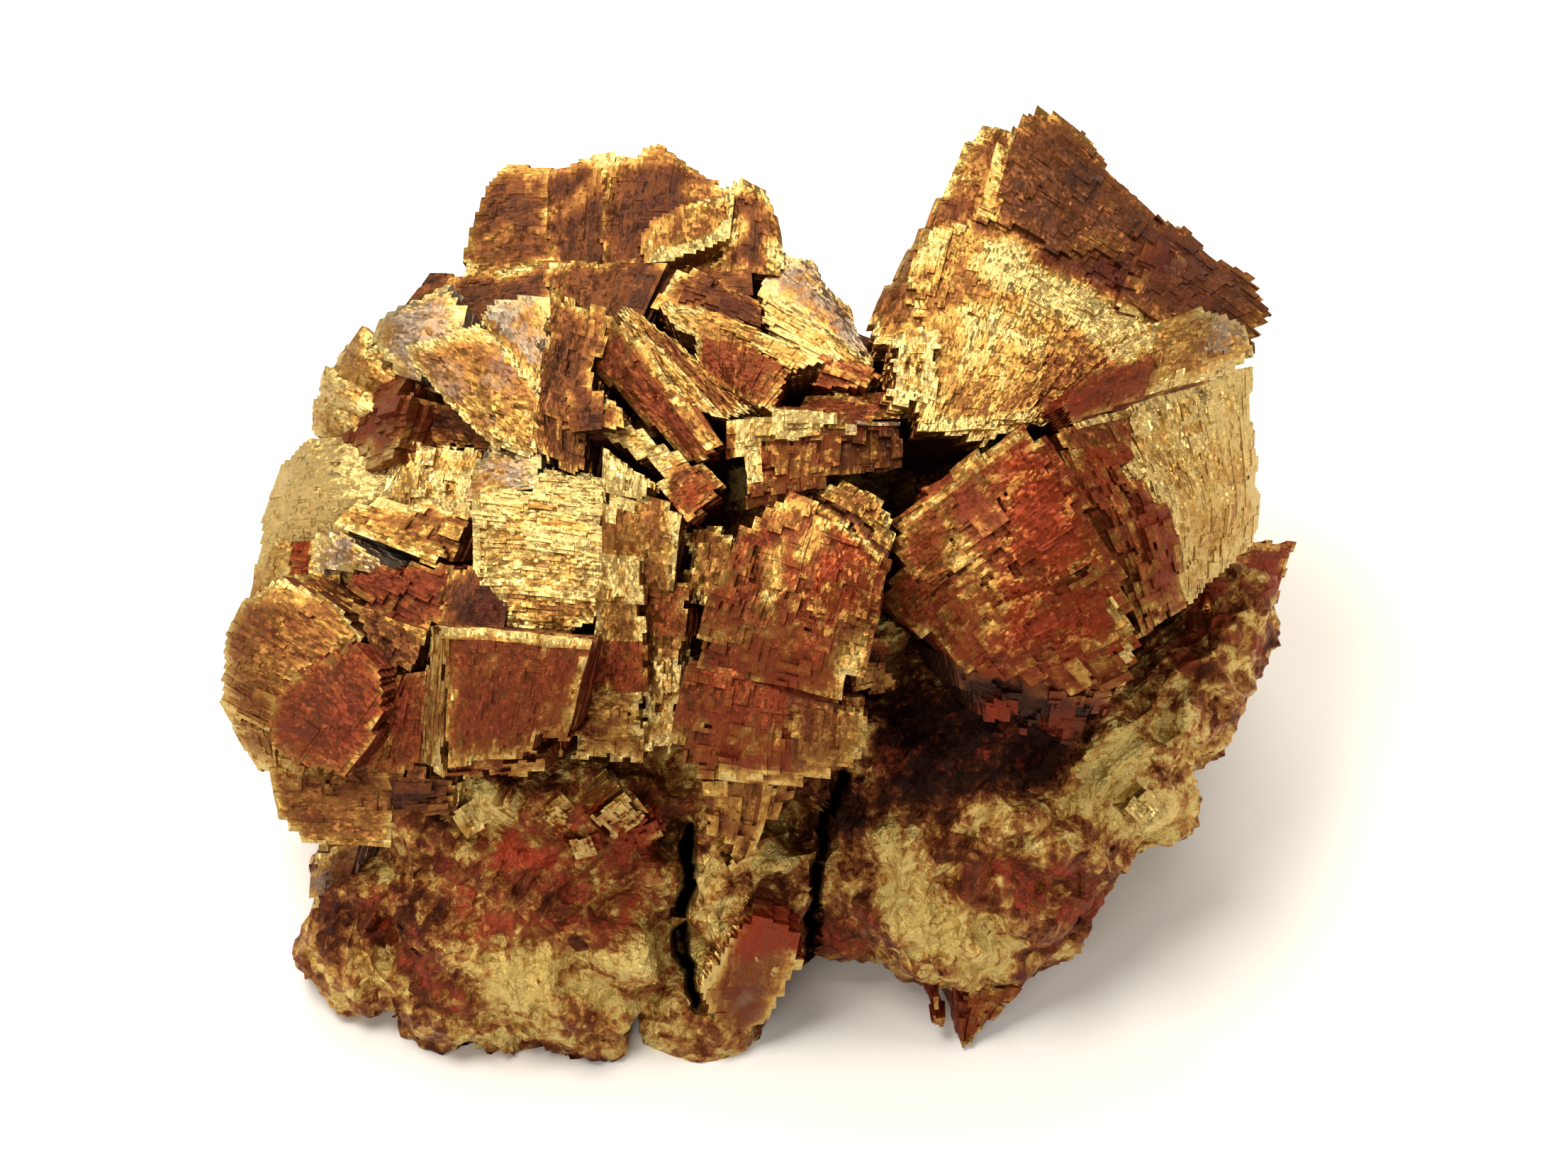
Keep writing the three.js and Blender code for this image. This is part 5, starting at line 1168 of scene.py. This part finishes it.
# ---- the rear slabs and the small cubes ------------------------------------------------------------
def rear_slab(r, n):
    """Slab n of row r at the back, in the part's frame."""
    row = REAR_ROWS[r]
    roll = dice(SLAB_DICE + r * 10 + n)

    def stray(amount):
        """A chance shift of up to half this amount either way."""
        return (roll() - 0.5) * amount
    start, end = row["bearings"]
    turn = math.radians(start + (end - start) * n / (row["count"] - 1))
    tip = math.radians(row["up"] + stray(STRAY_TIP))
    spin = math.radians(stray(STRAY_SPIN))
    middle = np.array([
        REAR_CENTRE[0] + row["radii"][0] * math.sin(turn),
        REAR_CENTRE[1] + row["radii"][1] * math.cos(turn),
        row["z"] + stray(STRAY_HEIGHT),
    ])
    middle[2] -= REAR_LOWERED * (n == row["low"])
    out = np.array([math.sin(turn) * math.cos(tip), math.cos(turn) * math.cos(tip), math.sin(tip)])
    level = np.array([-math.cos(turn), math.sin(turn), 0.0])
    across = level * math.cos(spin) + np.cross(out, level) * math.sin(spin)
    upward = np.cross(out, across)
    wide = across * row["size"][0] * (1 + stray(STRAY_SIZE)) / 2
    tall = upward * row["size"][1] * (1 + stray(STRAY_SIZE)) / 2
    run = "up" if roll() > 0.5 else "across"
    habit, finish = REAR_HABITS[n % len(REAR_HABITS)], REAR_FINISHES[(n + 2 * r) % len(REAR_FINISHES)]
    return crystal(middle - wide - tall, middle + wide - tall,
                   middle + REAR_TOP * wide + tall, middle - REAR_TOP * wide + tall,
                   run, habit, finish, REAR_BULGE, root=middle + (REAR_CENTRE - middle) * REAR_ROOT,
                   in_part=True, teeth=2.0, plate=0.6)


def cube_sides(at, edge, turns, finish):
    """The open sides of a small cube, with stepped faces and striped flanks."""
    tip, spin = np.radians(turns)
    spun = np.array([
        [math.cos(spin), -math.sin(spin), 0],
        [math.sin(spin), math.cos(spin), 0],
        [0, 0, 1],
    ])
    turned = spun @ tipped(tip)
    sides = []
    for directions in CUBE_SIDES:
        across, upward, out = (turned @ np.array(way, float) * (edge / 2) for way in directions)
        middle = np.array(at, float) + out * CUBE_INSET
        sides.append(crystal(middle - across - upward, middle + across - upward,
                             middle + across + upward, middle - across + upward,
                             "up", "stepped", finish, 0, root=middle - out * CUBE_ROOT,
                             strip=(0.3, 0.9), scale=(0.4, 1.6), teeth=0.3))
    return sides


# ---- massive pyrite --------------------------------------------------------------------------------
def lump_mesh():
    """The heart and the lumps as one rough mesh, joined by remeshing at the rock's grain."""
    bpy.ops.mesh.primitive_ico_sphere_add(subdivisions=5, radius=1)
    ball = bpy.context.object
    unit = read(ball.data.vertices, "co").astype(float)
    corners = read(ball.data.polygons, "vertices", np.int32)
    bpy.data.objects.remove(ball)
    points, triangles = [], []
    for n, (centre, half) in enumerate(LUMPS + REAR_LUMPS):
        centre, half = np.array(centre, float), np.array(half, float)
        place = unit * half + centre
        grown = 1 + sum(strength * np.sin(place @ np.array(wave) + phase)
                        for strength, wave, phase in LUMP_WAVES)
        lump = unit * grown[:, None] * half + centre
        points.append(to_part(lump) if n < len(LUMPS) else lump)
        triangles.append(corners + n * len(unit))
    mesh = bpy.data.meshes.new("lumps")
    mesh.from_pydata(np.concatenate(points).tolist(), [], np.concatenate(triangles).tolist())
    rock = put("lumps", mesh)
    remesh = rock.modifiers.new("remesh", "REMESH")
    remesh.mode = "VOXEL"
    remesh.voxel_size = ROCK_GRAIN
    solid = bpy.data.meshes.new_from_object(rock.evaluated_get(bpy.context.evaluated_depsgraph_get()))
    bpy.data.objects.remove(rock)
    return solid


def grains_at(points, size, salt):
    """The nearest grain to each point: how high it stands (-1 to 1) and how its facet tilts there."""
    base = np.floor(points / size).astype(np.int64)
    nearest = np.full(len(points), np.inf)
    height = np.zeros(len(points))
    tilt = np.zeros(len(points))
    for n in range(27):  # the cell that the point is in and those around it
        cell = base + np.array([n % 3 - 1, n // 3 % 3 - 1, n // 9 - 1])
        jitter = np.stack([lattice(*cell.T, salt + k) for k in range(3)], axis=1)
        away = points - (cell + 0.5 + GRAIN_STRAY * jitter) * size
        distance = np.einsum("ij,ij->i", away, away)
        closer = distance < nearest
        nearest = np.where(closer, distance, nearest)
        lean = np.stack([lattice(*cell.T, salt + 3 + k) for k in range(3)], axis=1)
        height = np.where(closer, lattice(*cell.T, salt + 6), height)
        tilt = np.where(closer, np.einsum("ij,ij->i", away, lean) / size, tilt)
    return height, tilt


def fissure_share(face, outwards):
    """How far each point of the rock lies in a fissure, from 0 to 1."""
    spots = wander(face, *FISSURE_WANDER)[:, :2]
    share = np.zeros(len(face))
    for path in FISSURES:
        for start, end in zip(path, path[1:]):
            share = np.maximum(share, np.exp(-(distance_to(spots, start, end) / FISSURE_HALF) ** 4))
    return share * ((face[:, 2] > FISSURE_BACK) & (outwards > FISSURE_FACING))


def massive_pyrite(material):
    """The granular lumps: swells, grains with flat facets, fissures, and a flat broken base."""
    solid = lump_mesh()
    points = read(solid.vertices, "co").astype(float)
    normals = read(solid.vertex_normals, "vector").astype(float)
    out = swells(points, ROCK_SWELLS)
    grains = []
    for size, salt, stands, tips in ROCK_GRAINS:
        height, tilt = grains_at(points, size, salt)
        out = out + stands * height + tips * tilt
        grains.append(height)
    face = to_face(points + normals * (out - ROCK_SINK)[:, None])
    fissure = fissure_share(face, normals @ FACE_TO_PART[:, 2])
    face[:, 2] -= FISSURE_DEPTH * fissure
    points = to_part(face)
    points[:, 2] = np.maximum(points[:, 2], 0.0)
    solid.vertices.foreach_set("co", floats(points * MM))
    solid.update()
    shift = stains_and_painted_light(points)
    _, medium, fine = grains
    # crust and stain take in the strokes, so they carry painted highlights and shadows as well as real
    # crust and stains
    crust_and_painted_light = (CRUST + CRUST_GRAIN * medium + CRUST_GRAIN * fine + swells(points, [CRUST_SWELL])
             + shift[:, 0])
    stain_and_painted_light = STAIN + swells(points, [STAIN_SWELL]) + STAIN_GRAIN * medium + STAIN_FROM_STROKES * shift[:, 1]
    looks = np.stack([crust_and_painted_light, stain_and_painted_light, fissure, np.ones(len(points))], axis=1)
    look = solid.attributes.new("look", "FLOAT_COLOR", "POINT")
    look.data.foreach_set("color", floats(looks))
    solid.materials.clear()
    solid.materials.append(material)
    solid.name = "massive_pyrite"
    return put("massive_pyrite", solid)


# ---- materials -------------------------------------------------------------------------------------
def colour(code):
    """An sRGB hex colour as linear red, green, blue and alpha."""
    parts = [int(code[n:n + 2], 16) / 255 for n in (1, 3, 5)]
    return [p / 12.92 if p <= 0.04045 else ((p + 0.055) / 1.055) ** 2.4 for p in parts] + [1.0]


def node(tree, kind, inputs, **settings):
    """Adds a node with its settings. inputs gives each socket a number, a hex colour, or the output of
    another node, which is linked to it. Sockets that share a name go by number: MULTIPLY_ADD gives 0
    times 1, plus 2; a colour Mix goes from 6 to 7 as 0 goes from 0 to 1."""
    made = tree.nodes.new("ShaderNode" + kind)
    for key, value in settings.items():
        setattr(made, key, value)
    for key, value in inputs.items():
        if isinstance(value, bpy.types.NodeSocket):
            tree.links.new(value, made.inputs[key])
        else:
            made.inputs[key].default_value = colour(value) if isinstance(value, str) else value
    return made


def blank(name):
    """A new material with nothing in it, and its node tree."""
    material = bpy.data.materials.new(name)
    material.use_nodes = True
    material.node_tree.nodes.clear()
    return material, material.node_tree


def flat_grains(tree, spot, sizes, distance):
    """Flat grains of these sizes, edge to edge: each one's own chance from 0 to 1, and how it tips."""
    scale = [1 / (size * MM) for size in sizes]
    spread = node(tree, "Mapping", {"Vector": spot, "Scale": scale}).outputs[0]
    cells = node(tree, "TexVoronoi", {"Vector": spread, "Scale": 1.0, "Randomness": 0.9},
                 distance=distance).outputs
    chance, middle = cells["Color"], cells["Position"]
    lean = node(tree, "VectorMath", {0: chance, 1: (0.5, 0.5, 0.5)}, operation="SUBTRACT").outputs[0]
    away = node(tree, "VectorMath", {0: spread, 1: middle}, operation="SUBTRACT").outputs[0]
    tip = node(tree, "VectorMath", {0: away, 1: lean}, operation="DOT_PRODUCT").outputs["Value"]
    return node(tree, "SeparateColor", {"Color": chance}).outputs[0], tip


def tarnished_pyrite():
    """Pyrite: an iron sulphide metal, grown as striated plates that part in small flakes. Bare metal shows
    where it is worn, and brighter on proud edges as a painted highlight; elsewhere a film of iron oxide
    turns it brown, then rust red, and a thinner film pearl grey. Crevices and the feet of steps are
    painted near black as shade."""
    material, tree = blank("tarnished_pyrite")
    look = node(tree, "Attribute", {}, attribute_name="look")
    # tarnish and rust also carry painted shade from ledge feet and deep flanks, and painted highlights and
    # shadows from some strokes; the alpha is wear with painted light
    tarnish, rust, steel = node(tree, "SeparateColor", {"Color": look.outputs["Color"]}).outputs
    wear_and_painted_light = look.outputs["Alpha"]
    spot = node(tree, "TexCoord", {}).outputs["Object"]
    grain = node(tree, "Attribute", {}, attribute_name="grain").outputs["Vector"]
    # blotches of tarnish 4 mm across, flecks of 0.7 mm, and striations 0.16 mm apart that run for
    # 1.8 mm; real ones are finer still and wouldn't show
    lines = (1 / (0.16 * MM), 1 / (1.8 * MM), 1 / MM)
    drawn = node(tree, "Mapping", {"Vector": grain, "Scale": lines}).outputs[0]
    blotch, fleck, streak = (
        node(tree, "TexNoise", {
            "Vector": on, "Scale": scale, "Detail": detail, "Roughness": rough}).outputs[0]
        for on, scale, detail, rough in (
            (spot, 1 / (4.0 * MM), 4.0, 0.6), (spot, 1 / (0.7 * MM), 5.0, 0.7), (drawn, 1.0, 3.0, 0.6)))
    flake, flake_tip = flat_grains(tree, grain, (0.6, 1.0, 2.0), "CHEBYCHEV")
    chip, chip_tip = flat_grains(tree, grain, (0.22, 0.36, 1.0), "CHEBYCHEV")

    # how far the oxide film covers the metal, from 0 to 1: it flakes off worn edges, which paints their
    # highlight too, and stays in corners, which paints their shade too
    worn_and_painted_light = node(tree, "Math", {0: wear_and_painted_light, 1: 0.5}, operation="SUBTRACT").outputs[0]
    cover = node(tree, "Math", {0: tarnish, 1: 0.25}, operation="SUBTRACT").outputs[0]
    for pattern, share in ((blotch, 0.5), (worn_and_painted_light, -0.6)):
        cover = node(tree, "Math", {0: pattern, 1: share, 2: cover}, operation="MULTIPLY_ADD").outputs[0]
    # where the film is thin, it is gone from whole flecks, flakes and chips
    bare = node(tree, "Math", {0: cover, 1: -0.4}, operation="MULTIPLY").outputs[0]
    for pattern, share in ((fleck, 0.6), (flake, 0.16), (chip, 0.14)):
        bare = node(tree, "Math", {0: pattern, 1: share, 2: bare}, operation="MULTIPLY_ADD").outputs[0]
    bare = node(tree, "MapRange", {"Value": bare, "From Min": 0.23, "From Max": 0.37},
                interpolation_type="SMOOTHSTEP").outputs[0]
    film = node(tree, "Math", {0: cover, 1: 0.27}, operation="SUBTRACT").outputs[0]
    for pattern, share in ((bare, -0.26), (streak, 0.1), (fleck, 0.35), (flake, 0.16), (chip, 0.16)):
        film = node(tree, "Math", {0: pattern, 1: share, 2: film}, operation="MULTIPLY_ADD").outputs[0]
    rusty = node(tree, "Math", {0: rust, 1: 0.25}, operation="SUBTRACT").outputs[0]
    for pattern, share in ((blotch, 0.5), (bare, -0.35)):
        rusty = node(tree, "Math", {0: pattern, 1: share, 2: rusty}, operation="MULTIPLY_ADD").outputs[0]
    rusty = node(tree, "MapRange", {"Value": rusty, "From Min": 0.1, "From Max": 0.9},
                 interpolation_type="SMOOTHSTEP").outputs[0]

    # from bare brassy metal to a thick brown film
    tones = node(tree, "ValToRGB", {"Fac": film})
    for place, code in ((0.2, "#AF8540"), (0.42, "#8E5F2B"), (0.66, "#6C3B18")):
        tones.color_ramp.elements.new(place).color = colour(code)
    tones.color_ramp.elements[0].color = colour("#C6A968")
    tones.color_ramp.elements[-1].color = colour("#321808")
    base = node(tree, "Mix", {0: rusty, 6: tones.outputs[0], 7: "#7E2C0C"}, data_type="RGBA").outputs[2]
    for pattern, share in ((blotch, 1.6), (bare, -0.3)):
        steel = node(tree, "Math", {0: pattern, 1: share, 2: steel}, operation="MULTIPLY_ADD").outputs[0]
    steel = node(tree, "MapRange", {"Value": steel, "From Min": 1.25, "From Max": 1.95}).outputs[0]
    base = node(tree, "Mix", {0: steel, 6: base, 7: "#9C8E78"}, data_type="RGBA").outputs[2]
    # painted shade: deep in a crevice and at the feet of steps the colour goes nearly black
    out_of_painted_shade = node(tree, "MapRange", {"Value": wear_and_painted_light, "From Min": -0.1, "From Max": 0.4},
                    interpolation_type="SMOOTHSTEP").outputs[0]
    base = node(tree, "Mix", {0: out_of_painted_shade, 6: "#200E05", 7: base}, data_type="RGBA").outputs[2]

    # every flake and chip is a small facet at its own angle, so each one glints on its own
    height = node(tree, "Math", {0: bare, 1: -0.2}, operation="MULTIPLY").outputs[0]
    for pattern, share in ((fleck, 1.0), (streak, 0.1), (flake, 0.3), (chip, 0.12), (flake_tip, 1.3),
                           (chip_tip, 0.9)):
        height = node(tree, "Math", {0: pattern, 1: share, 2: height}, operation="MULTIPLY_ADD").outputs[0]
    bump = node(tree, "Bump", {"Strength": 0.85, "Distance": 0.2 * MM, "Height": height}).outputs[0]
    rough = node(tree, "MapRange", {"Value": film, "To Min": 0.3, "To Max": 0.52}).outputs[0]
    metal = node(tree, "MapRange", {"Value": film, "To Min": 0.95, "To Max": 0.7}).outputs[0]
    shader = node(tree, "BsdfPrincipled", {
        "Base Color": base, "Roughness": rough, "Metallic": metal, "Normal": bump})
    node(tree, "OutputMaterial", {"Surface": shader.outputs[0]})
    return material


def granular_pyrite():
    """Massive pyrite broken through its grains: each grain is a tiny greenish-gold mirror at its own
    angle, with brown crust between them and red iron-oxide stains over whole areas."""
    material, tree = blank("granular_pyrite")
    look = node(tree, "Attribute", {}, attribute_name="look")
    # crust and stain carry real crust and stains and also painted highlights and shadows
    crust_and_painted_light, stain_and_painted_light, fissure = node(tree, "SeparateColor", {"Color": look.outputs["Color"]}).outputs
    spot = node(tree, "TexCoord", {}).outputs["Object"]
    # blotches 6 mm across, specks of 0.5 mm and pits of 1.6 mm, then grains of 1 mm and 0.4 mm
    blotch, speck, pit = (
        node(tree, "TexNoise", {
            "Vector": spot, "Scale": 1 / (size * MM), "Detail": detail, "Roughness": rough}).outputs[0]
        for size, detail, rough in ((6.0, 5.0, 0.6), (0.5, 4.0, 0.7), (1.6, 5.0, 0.7)))
    grain, grain_tip = flat_grains(tree, spot, (1.0, 1.0, 1.0), "EUCLIDEAN")
    small, small_tip = flat_grains(tree, spot, (0.4, 0.4, 0.4), "EUCLIDEAN")

    # how thick the crust is, from a clean break to brown crust
    film = node(tree, "Math", {0: crust_and_painted_light, 1: 1.83}, operation="SUBTRACT").outputs[0]
    for pattern, share in ((speck, 0.8), (blotch, 0.9), (pit, 1.15), (grain, 0.4), (small, 0.25)):
        film = node(tree, "Math", {0: pattern, 1: share, 2: film}, operation="MULTIPLY_ADD").outputs[0]
    tones = node(tree, "ValToRGB", {"Fac": film})
    for place, code in ((0.2, "#B88B45"), (0.42, "#8E552A"), (0.66, "#5E2D13")):
        tones.color_ramp.elements.new(place).color = colour(code)
    tones.color_ramp.elements[0].color = colour("#D6BC72")
    tones.color_ramp.elements[-1].color = colour("#2A1106")
    red = node(tree, "Math", {0: stain_and_painted_light, 1: 0.95}, operation="SUBTRACT").outputs[0]
    for pattern, share in ((speck, 0.8), (pit, 0.7), (small, 0.4)):
        red = node(tree, "Math", {0: pattern, 1: share, 2: red}, operation="MULTIPLY_ADD").outputs[0]
    red = node(tree, "MapRange", {"Value": red, "From Min": 0.3, "From Max": 1.1},
               interpolation_type="SMOOTHSTEP").outputs[0]
    base = node(tree, "Mix", {0: red, 6: tones.outputs[0], 7: "#9E3A18"}, data_type="RGBA").outputs[2]
    # painted shade: inside a fissure the colour goes nearly black
    deep = node(tree, "MapRange", {"Value": fissure, "From Min": 0.1, "From Max": 0.7},
                interpolation_type="SMOOTHSTEP").outputs[0]
    base = node(tree, "Mix", {0: deep, 6: base, 7: "#120803"}, data_type="RGBA").outputs[2]

    height = node(tree, "Math", {0: pit, 1: 2.0}, operation="MULTIPLY").outputs[0]
    for pattern, share in ((speck, 1.2), (grain_tip, 1.6), (small_tip, 0.8), (grain, 0.2)):
        height = node(tree, "Math", {0: pattern, 1: share, 2: height}, operation="MULTIPLY_ADD").outputs[0]
    bump = node(tree, "Bump", {"Strength": 1.0, "Distance": 0.26 * MM, "Height": height}).outputs[0]
    rough = node(tree, "MapRange", {"Value": film, "To Min": 0.34, "To Max": 0.58}).outputs[0]
    metal = node(tree, "MapRange", {"Value": red, "To Min": 0.85, "To Max": 0.5}).outputs[0]
    shader = node(tree, "BsdfPrincipled", {
        "Base Color": base, "Roughness": rough, "Metallic": metal, "Normal": bump})
    node(tree, "OutputMaterial", {"Surface": shader.outputs[0]})
    return material


def painted_table():
    """A matt off-white table: paint rolled on board, even and without gloss."""
    material, tree = blank("painted_table")
    shader = node(tree, "BsdfPrincipled", {"Base Color": "#ECEAE6", "Roughness": 0.8})
    node(tree, "OutputMaterial", {"Surface": shader.outputs[0]})
    return material


# ---- camera, light and table -----------------------------------------------------------------------
def put_camera():
    """A long lens that looks straight down the face frame's w axis; its frame is 114.3 mm wide."""
    lens, sensor, frame_width = 200.0, 36.0, 114.3
    camera = bpy.data.cameras.new("camera")
    camera.lens = lens
    camera.sensor_width = sensor
    camera.clip_start, camera.clip_end = 0.02, 20.0
    away = frame_width * lens / sensor * MM
    turned = Matrix([list(row) for row in FACE_TO_PART]).to_4x4()
    eye = put("camera", camera)
    eye.matrix_world = Matrix.Translation(FACE_CENTRE * MM + FACE_TO_PART[:, 2] * away) @ turned
    bpy.context.scene.camera = eye


# Square soft boxes: the direction that each shines from in the part's frame, how far off it is and how
# wide in metres, its watts, and its tint.
SOFT_BOXES = {
    "key": ((-0.1, 0.7, 0.9), 0.6, 0.45, 3.9, "#FFF6E8"),
    "top": ((-0.35, -0.08, 1.0), 0.5, 0.22, 2.3, "#FFF9F0"),
    "left": ((-1.0, 0.25, 0.7), 0.7, 0.3, 1.0, "#FFFAF2"),
    "fill": ((-0.3, -1.0, 0.7), 0.8, 0.4, 2.2, "#FFFAF2"),
    "side": ((1.0, 0.0, 0.42), 0.8, 0.3, 2.3, "#FFFAF4"),
}


def light_the_studio():
    """Plain soft light from five boxes, and a dim pale room."""
    for name, (direction, distance, size, watts, tint) in SOFT_BOXES.items():
        lamp = bpy.data.lights.new(name, "AREA")
        lamp.shape = "SQUARE"
        lamp.size = size
        lamp.energy = watts
        lamp.color = colour(tint)[:3]
        way = np.array(direction, float)
        way = way / np.linalg.norm(way)
        box = put(name, lamp)
        box.location = Vector(FACE_CENTRE * MM + way * distance)
        box.rotation_mode = "QUATERNION"
        box.rotation_quaternion = Vector(way).to_track_quat("Z", "Y")
    world = bpy.data.worlds.new("studio")
    world.use_nodes = True
    room = world.node_tree.nodes["Background"]
    room.inputs["Color"].default_value = colour("#EFEDEA")
    room.inputs["Strength"].default_value = 0.2
    bpy.context.scene.world = world
    bpy.context.scene.view_settings.view_transform = "Standard"


def lay_table():
    """The floor that the cluster rests on, 6 m wide."""
    half = 3.0
    corners = [(-half, -half, 0), (half, -half, 0), (half, half, 0), (-half, half, 0)]
    mesh = bpy.data.meshes.new("table_top")
    mesh.from_pydata(corners, [], [(0, 1, 2, 3)])
    mesh.materials.append(painted_table())
    put("table_top", mesh)


# ---- putting it together ---------------------------------------------------------------------------
def stand_for_the_solid(piece):
    """Every piece is part of the one solid, and hides it."""
    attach(piece, "root")
    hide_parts("pyrite_cluster")


def grow_piece(name, seeded, material, size=CELL):
    """One piece of these crystals, each given with its seed."""
    faces = Faces()
    for seed, made in seeded:
        grow(faces, made, seed, size)
    stand_for_the_solid(faces.piece(name, material))


def build():
    """The studio, the crystals, the slabs at the back, the small cubes and the massive pyrite."""
    put_camera()
    light_the_studio()
    lay_table()
    metal, rock = tarnished_pyrite(), granular_pyrite()
    seed = 1
    for name, crystals in CRYSTALS.items():
        grow_piece(name, enumerate(crystals.values(), seed), metal)
        seed += len(crystals)
    slabs = [rear_slab(r, n) for r, row in enumerate(REAR_ROWS) for n in range(row["count"])]
    grow_piece("rear_blades", enumerate(slabs, REAR_SEED), metal, REAR_CELL)
    cubes = [(CUBE_SEED + 10 * n + k, side)
             for n, cube in enumerate(CUBES) for k, side in enumerate(cube_sides(*cube))]
    grow_piece("small_cubes", cubes, metal)
    stand_for_the_solid(massive_pyrite(rock))


build()
